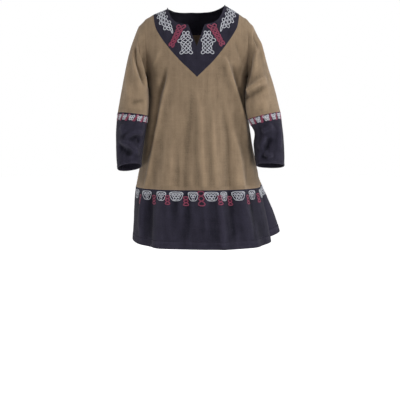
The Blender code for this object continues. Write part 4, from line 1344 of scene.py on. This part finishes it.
@functools.cache
def hem_arcs():
    """Angles round the hem, with their lengths from the middle of the front and their places across."""
    angles = np.linspace(-360, 360, 4 * ROW_STEPS + 1)
    line = body_point(angles, np.full_like(angles, HEM_MOTIF_Z - ARMPIT_Z))
    arcs = lengths_along(line)
    return angles, arcs - np.interp(0, angles, arcs), line[:, 0]


def shield_frame(width, height):
    """Rounded outline of a shield, its ends a little past each other."""
    turn = np.linspace(-FRAME_LAP, 2 * math.pi + FRAME_LAP, FRAME_STEPS)
    x, y = (np.sign(part) * np.sqrt(np.abs(part)) for part in (np.cos(turn), np.sin(turn)))
    return np.stack([width / 2 * x * (1 - (1 - SHIELD_FOOT) * (1 - y) / 2), height / 2 * y], axis=1)


def hem_strands(strands, arc, z):
    angles, arcs, _ = hem_arcs()
    return moved(strands, lambda u, v: body_point(np.interp(arc + u, arcs, angles), z + v - ARMPIT_Z))


def hem_row(behind):
    """Middles and widths of the hem's shields, as lengths round the hem from the middle of the front."""
    angles, arcs, across = hem_arcs()
    other_seam, seam, far_seam = np.interp((-90.0, 90.0, 270.0), angles, arcs)
    if behind:
        count = round((far_seam - seam) / HEM_MOTIF_PITCH)
        return [(seam + (far_seam - seam) * (k + 0.5) / count, BACK_SHIELDS[k % 2]) for k in range(count)]
    shown = np.abs(angles) < 90
    row = [(float(np.interp(x, across[shown], arcs[shown])), width) for x, width in HEM_SHIELDS]
    row.insert(0, ((row[0][0] + other_seam) / 2 - SIDE_SHIELD_SHIFT, SIDE_SHIELD))
    row.append(((row[-1][0] + seam) / 2 + SIDE_SHIELD_SHIFT, SIDE_SHIELD))
    return row


def hem_embroidery(name, behind, ground):
    row = hem_row(behind)
    shields, loops = [], []
    for arc, width in row:
        rows = WIDE_SHIELD if width > WIDE_SHIELD_FROM else NARROW_SHIELD
        inner = knot(rows, SHIELD_KNOT * width, SHIELD_KNOT * SHIELD_HEIGHT)
        shields += hem_strands([shield_frame(width, SHIELD_HEIGHT), *inner], arc, HEM_MOTIF_Z)
    for number, ((arc, width), (next_arc, next_width)) in enumerate(zip(row[:-1], row[1:])):
        middle = (arc + width / 2 + next_arc - next_width / 2) / 2
        size, z = (LOOP_WIDTHS[number % 2], LOOP_HEIGHT), LOOP_Z + LOOP_STEP * (number % 3)
        if number == TALL_LOOP and not behind:
            size, z = TALL_LOOP_SIZE, TALL_LOOP_Z
        loops += hem_strands(knot(LOOP_CHAIN, *size), middle, z)
    return (couched("knots_" + name, shields, SHIELD_WIDTH, ground, PALE_THREAD),
            couched("loops_" + name, loops, RED_WIDTH, ground, RED_THREAD))


def hem_stitches(name, behind, ground):
    angle = np.linspace(-HEM_STITCH_END, HEM_STITCH_END, HEM_LINE_STEPS) + (180.0 if behind else 0.0)
    wrapped = (angle + 180) % 360 - 180
    fold = body_point(wrapped, hem_z(wrapped) + HEM_TURN - ARMPIT_Z)
    return stitched("stitches_" + name, [fold], ground, DARK)


def yoke_embroidery():
    knots, cords = [], []
    for side in (1, -1):
        def panel(u, v):
            along = PANEL_START + (PANEL_END - PANEL_START) * (u / PANEL_LENGTH + 0.5)
            centre = np.interp(along, PANEL_ALONG, PANEL_CENTRE)
            half = np.interp(along, PANEL_ALONG, PANEL_HALF)
            angle, level = yoke_place(along, centre + half * 2 * v / PANEL_WIDTH)
            return body_point(side * angle, level)

        def bar(u, v):
            down, over = v + 0.5, (u + 0.5)[:, None]
            top = np.array(BAR_TOP[0]) + np.subtract(BAR_TOP[1], BAR_TOP[0]) * over
            foot = np.array(BAR_FOOT[0]) + np.subtract(BAR_FOOT[1], BAR_FOOT[0]) * over
            x, z = (top + (foot - top) * down[:, None]).T
            angle, level = on_body(x, z, False)
            return body_point(side * angle, level)

        def chest(u, v):
            angle, level = on_body(CHEST_KNOT[0] + u, CHEST_KNOT[1] + v, False)
            return body_point(side * angle, level)

        kinds = [min(k, PANEL_COLUMNS - k, 2 + k % 2) for k in range(PANEL_COLUMNS + 1)]
        panel_rows = [(k, PANEL_ROWS[kind]) for k, kind in enumerate(kinds)]
        turned = [strand[:, ::-1] for strand in knot(panel_rows, PANEL_WIDTH, PANEL_LENGTH)]
        knots += moved(turned, panel)
        knots += moved(knot(CHEST_ROWS, *CHEST_SIZE), chest)
        cords += moved(knot(BAR_ROWS, 1.0, 1.0), bar)
    return (couched("knots_yoke", knots, PALE_WIDTH, yoke_ground, PALE_THREAD),
            couched("cords_yoke", cords, BAR_WIDTH, yoke_ground, RED_THREAD))


def yoke_stitches():
    lines = []
    along = np.linspace(0, 1, YOKE_LINE_STEPS)
    for share_of in (YOKE_STITCH_IN, NECK_TURN):
        neck = plain_body_point(*yoke_place(along, 0.0))
        outer = plain_body_point(*yoke_place(along, 1.0))
        share = share_of / np.linalg.norm(outer - neck, axis=1)
        angle, level = yoke_place(along, share if share_of == NECK_TURN else 1 - share)
        lines += [body_point(side * angle, level) for side in (1, -1)]
    return stitched("stitches_yoke", lines, yoke_ground, DARK)


def sleeve_embroidery(name, rows, side, ground, band):
    girth = lengths_along(plain_sleeve_point(rows, side, np.linspace(0, 360, RING_STEPS + 1), band))[-1]
    blocks, slants = [], []
    for number in range(BAND_BLOCKS):
        middle = 360.0 * number / BAND_BLOCKS

        def place(u, v, middle=middle):
            return sleeve_point(rows, side, (middle + u * 360 / girth) % 360, band - v / SLEEVE_SECTION)

        def slant(u, v):
            return place(u - side * BAND_SLANT * v + 0.5 * girth / BAND_BLOCKS, v)

        blocks += moved(knot(BAND_BLOCK, *BAND_BLOCK_SIZE), place)
        slants += moved(knot(LOOP_CHAIN, *BAND_SLANT_SIZE), slant)
    around = np.linspace(0, 360, 2 * RING_STEPS + 1) % 360
    cuff = sleeve_point(rows, side, around, len(rows) - CUFF_TURN / SLEEVE_SECTION)
    return (couched("knots_" + name, blocks, BAND_PALE_WIDTH, ground, PALE_THREAD),
            couched("cords_" + name, slants, RED_WIDTH, ground, RED_THREAD),
            stitched("stitches_" + name, [cuff], ground, DARK))


# Cloth pieces

front, _ = build_panel("cloth_front_panel", False, KHAKI)
back, _ = build_panel("cloth_back_panel", True, KHAKI)
yoke, yoke_ground = build_yoke("cloth_neck_yoke", DARK)
hem_front, hem_front_ground = build_hem("cloth_hem_front", False, DARK)
hem_back, hem_back_ground = build_hem("cloth_hem_back", True, DARK)
left_upper, _ = build_sleeve("cloth_sleeve_left_upper", LEFT_SLEEVE, 1, False, KHAKI)
left_lower, left_lower_ground = build_sleeve("cloth_sleeve_left_lower", LEFT_SLEEVE, 1, True, DARK)
right_upper, _ = build_sleeve("cloth_sleeve_right_upper", RIGHT_SLEEVE, -1, False, KHAKI)
right_lower, right_lower_ground = build_sleeve("cloth_sleeve_right_lower", RIGHT_SLEEVE, -1, True, DARK)

knots_yoke, cords_yoke = yoke_embroidery()
stitches_yoke = yoke_stitches()
knots_hem_front, loops_hem_front = hem_embroidery("hem_front", False, hem_front_ground)
knots_hem_back, loops_hem_back = hem_embroidery("hem_back", True, hem_back_ground)
stitches_hem_front = hem_stitches("hem_front", False, hem_front_ground)
stitches_hem_back = hem_stitches("hem_back", True, hem_back_ground)
knots_left, cords_left, stitches_left = sleeve_embroidery(
    "sleeve_left", LEFT_SLEEVE, 1, left_lower_ground, LEFT_BAND)
knots_right, cords_right, stitches_right = sleeve_embroidery(
    "sleeve_right", RIGHT_SLEEVE, -1, right_lower_ground, RIGHT_BAND)

# Each piece with its node, slot, cut (width and length, then area, all round on a sleeve), hold,
# what carries it and what adorns it
CLOTH_PIECES = (
    (front, "front_panel", "khaki_cloth", (0.70, 0.80), 0.350, "hung", (yoke,), ()),
    (back, "back_panel", "khaki_cloth", (0.70, 0.80), 0.355, "hung", (yoke,), ()),
    (yoke, "neck_yoke", "dark_cloth", (0.36, 0.54), 0.100, "draped", (front, back),
     (knots_yoke, cords_yoke, stitches_yoke)),
    (hem_front, "hem_front", "dark_cloth", (0.83, 0.27), 0.215, "hung", (front,),
     (knots_hem_front, loops_hem_front, stitches_hem_front)),
    (hem_back, "hem_back", "dark_cloth", (0.76, 0.25), 0.182, "hung", (back,),
     (knots_hem_back, loops_hem_back, stitches_hem_back)),
    (left_upper, "sleeve_left_upper", "khaki_cloth", (0.53, 0.34), 0.145, "hung", (front, back), ()),
    (left_lower, "sleeve_left_lower", "dark_cloth", (0.42, 0.23), 0.090, "hung", (left_upper,),
     (knots_left, cords_left, stitches_left)),
    (right_upper, "sleeve_right_upper", "khaki_cloth", (0.53, 0.34), 0.145, "hung", (front, back), ()),
    (right_lower, "sleeve_right_lower", "dark_cloth", (0.42, 0.23), 0.090, "hung", (right_upper,),
     (knots_right, cords_right, stitches_right)),
)
for piece, node_name, slot_name, cut, cut_area, hold, carriers, adornments in CLOTH_PIECES:
    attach(piece, "root")
    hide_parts(node_name)

SEWN_PIECES = (
    ("pale_thread", (knots_yoke, knots_hem_front, knots_hem_back, knots_left, knots_right)),
    ("red_thread", (cords_yoke, loops_hem_front, loops_hem_back, cords_left, cords_right)),
    ("dark_cloth", (stitches_yoke, stitches_hem_front, stitches_hem_back, stitches_left, stitches_right)),
)
for slot_name, pieces in SEWN_PIECES:
    for piece in pieces:
        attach(piece, "root")


# Camera, floor and light

camera_data = bpy.data.cameras.new("camera")
camera_data.sensor_width = SENSOR
camera_data.lens = SENSOR * FOCAL_PIXELS / FRAME_PIXELS
camera = bpy.data.objects.new("camera", camera_data)
camera.location = CAMERA_PLACE
camera.rotation_euler = (math.pi / 2 - math.atan2(CAMERA_TILT_PIXELS, FOCAL_PIXELS), 0, 0)
bpy.context.scene.collection.objects.link(camera)
bpy.context.scene.camera = camera
bpy.context.scene.view_settings.view_transform = "Standard"

floor_material = bpy.data.materials.new("floor")
floor_material.use_nodes = True
plug(floor_material.node_tree, floor_material.node_tree.nodes["Principled BSDF"], FLOOR_FINISH)
floor_mesh = bpy.data.meshes.new("floor")
floor_corners = [(x, y, FLOOR_Z) for x, y in zip(FLOOR_X + FLOOR_X[::-1], np.repeat(FLOOR_Y, 2).tolist())]
floor_mesh.from_pydata(floor_corners, [], [(0, 1, 2, 3)])
floor_mesh.materials.append(floor_material)
floor = bpy.data.objects.new("floor", floor_mesh)
bpy.context.scene.collection.objects.link(floor)

world = bpy.data.worlds.new("studio")
world.use_nodes = True
surround = world.node_tree.nodes["Background"]
seen = world.node_tree.nodes.new("ShaderNodeLightPath").outputs["Is Camera Ray"]
strength = maths(world.node_tree, "MULTIPLY_ADD", seen, 1.0 - AMBIENT, AMBIENT)
plug(world.node_tree, surround, {"Color": (1.0, 1.0, 1.0, 1), "Strength": strength})
bpy.context.scene.world = world

for name, place, target_z, width, power in LIGHTS:
    lamp_data = bpy.data.lights.new(name, "AREA")
    lamp_data.shape = "DISK"
    lamp_data.size = width
    lamp_data.energy = power
    lamp = bpy.data.objects.new(name, lamp_data)
    lamp.location = place
    lamp.rotation_euler = (Vector((0, 0, target_z)) - Vector(place)).to_track_quat("-Z", "Y").to_euler()
    bpy.context.scene.collection.objects.link(lamp)
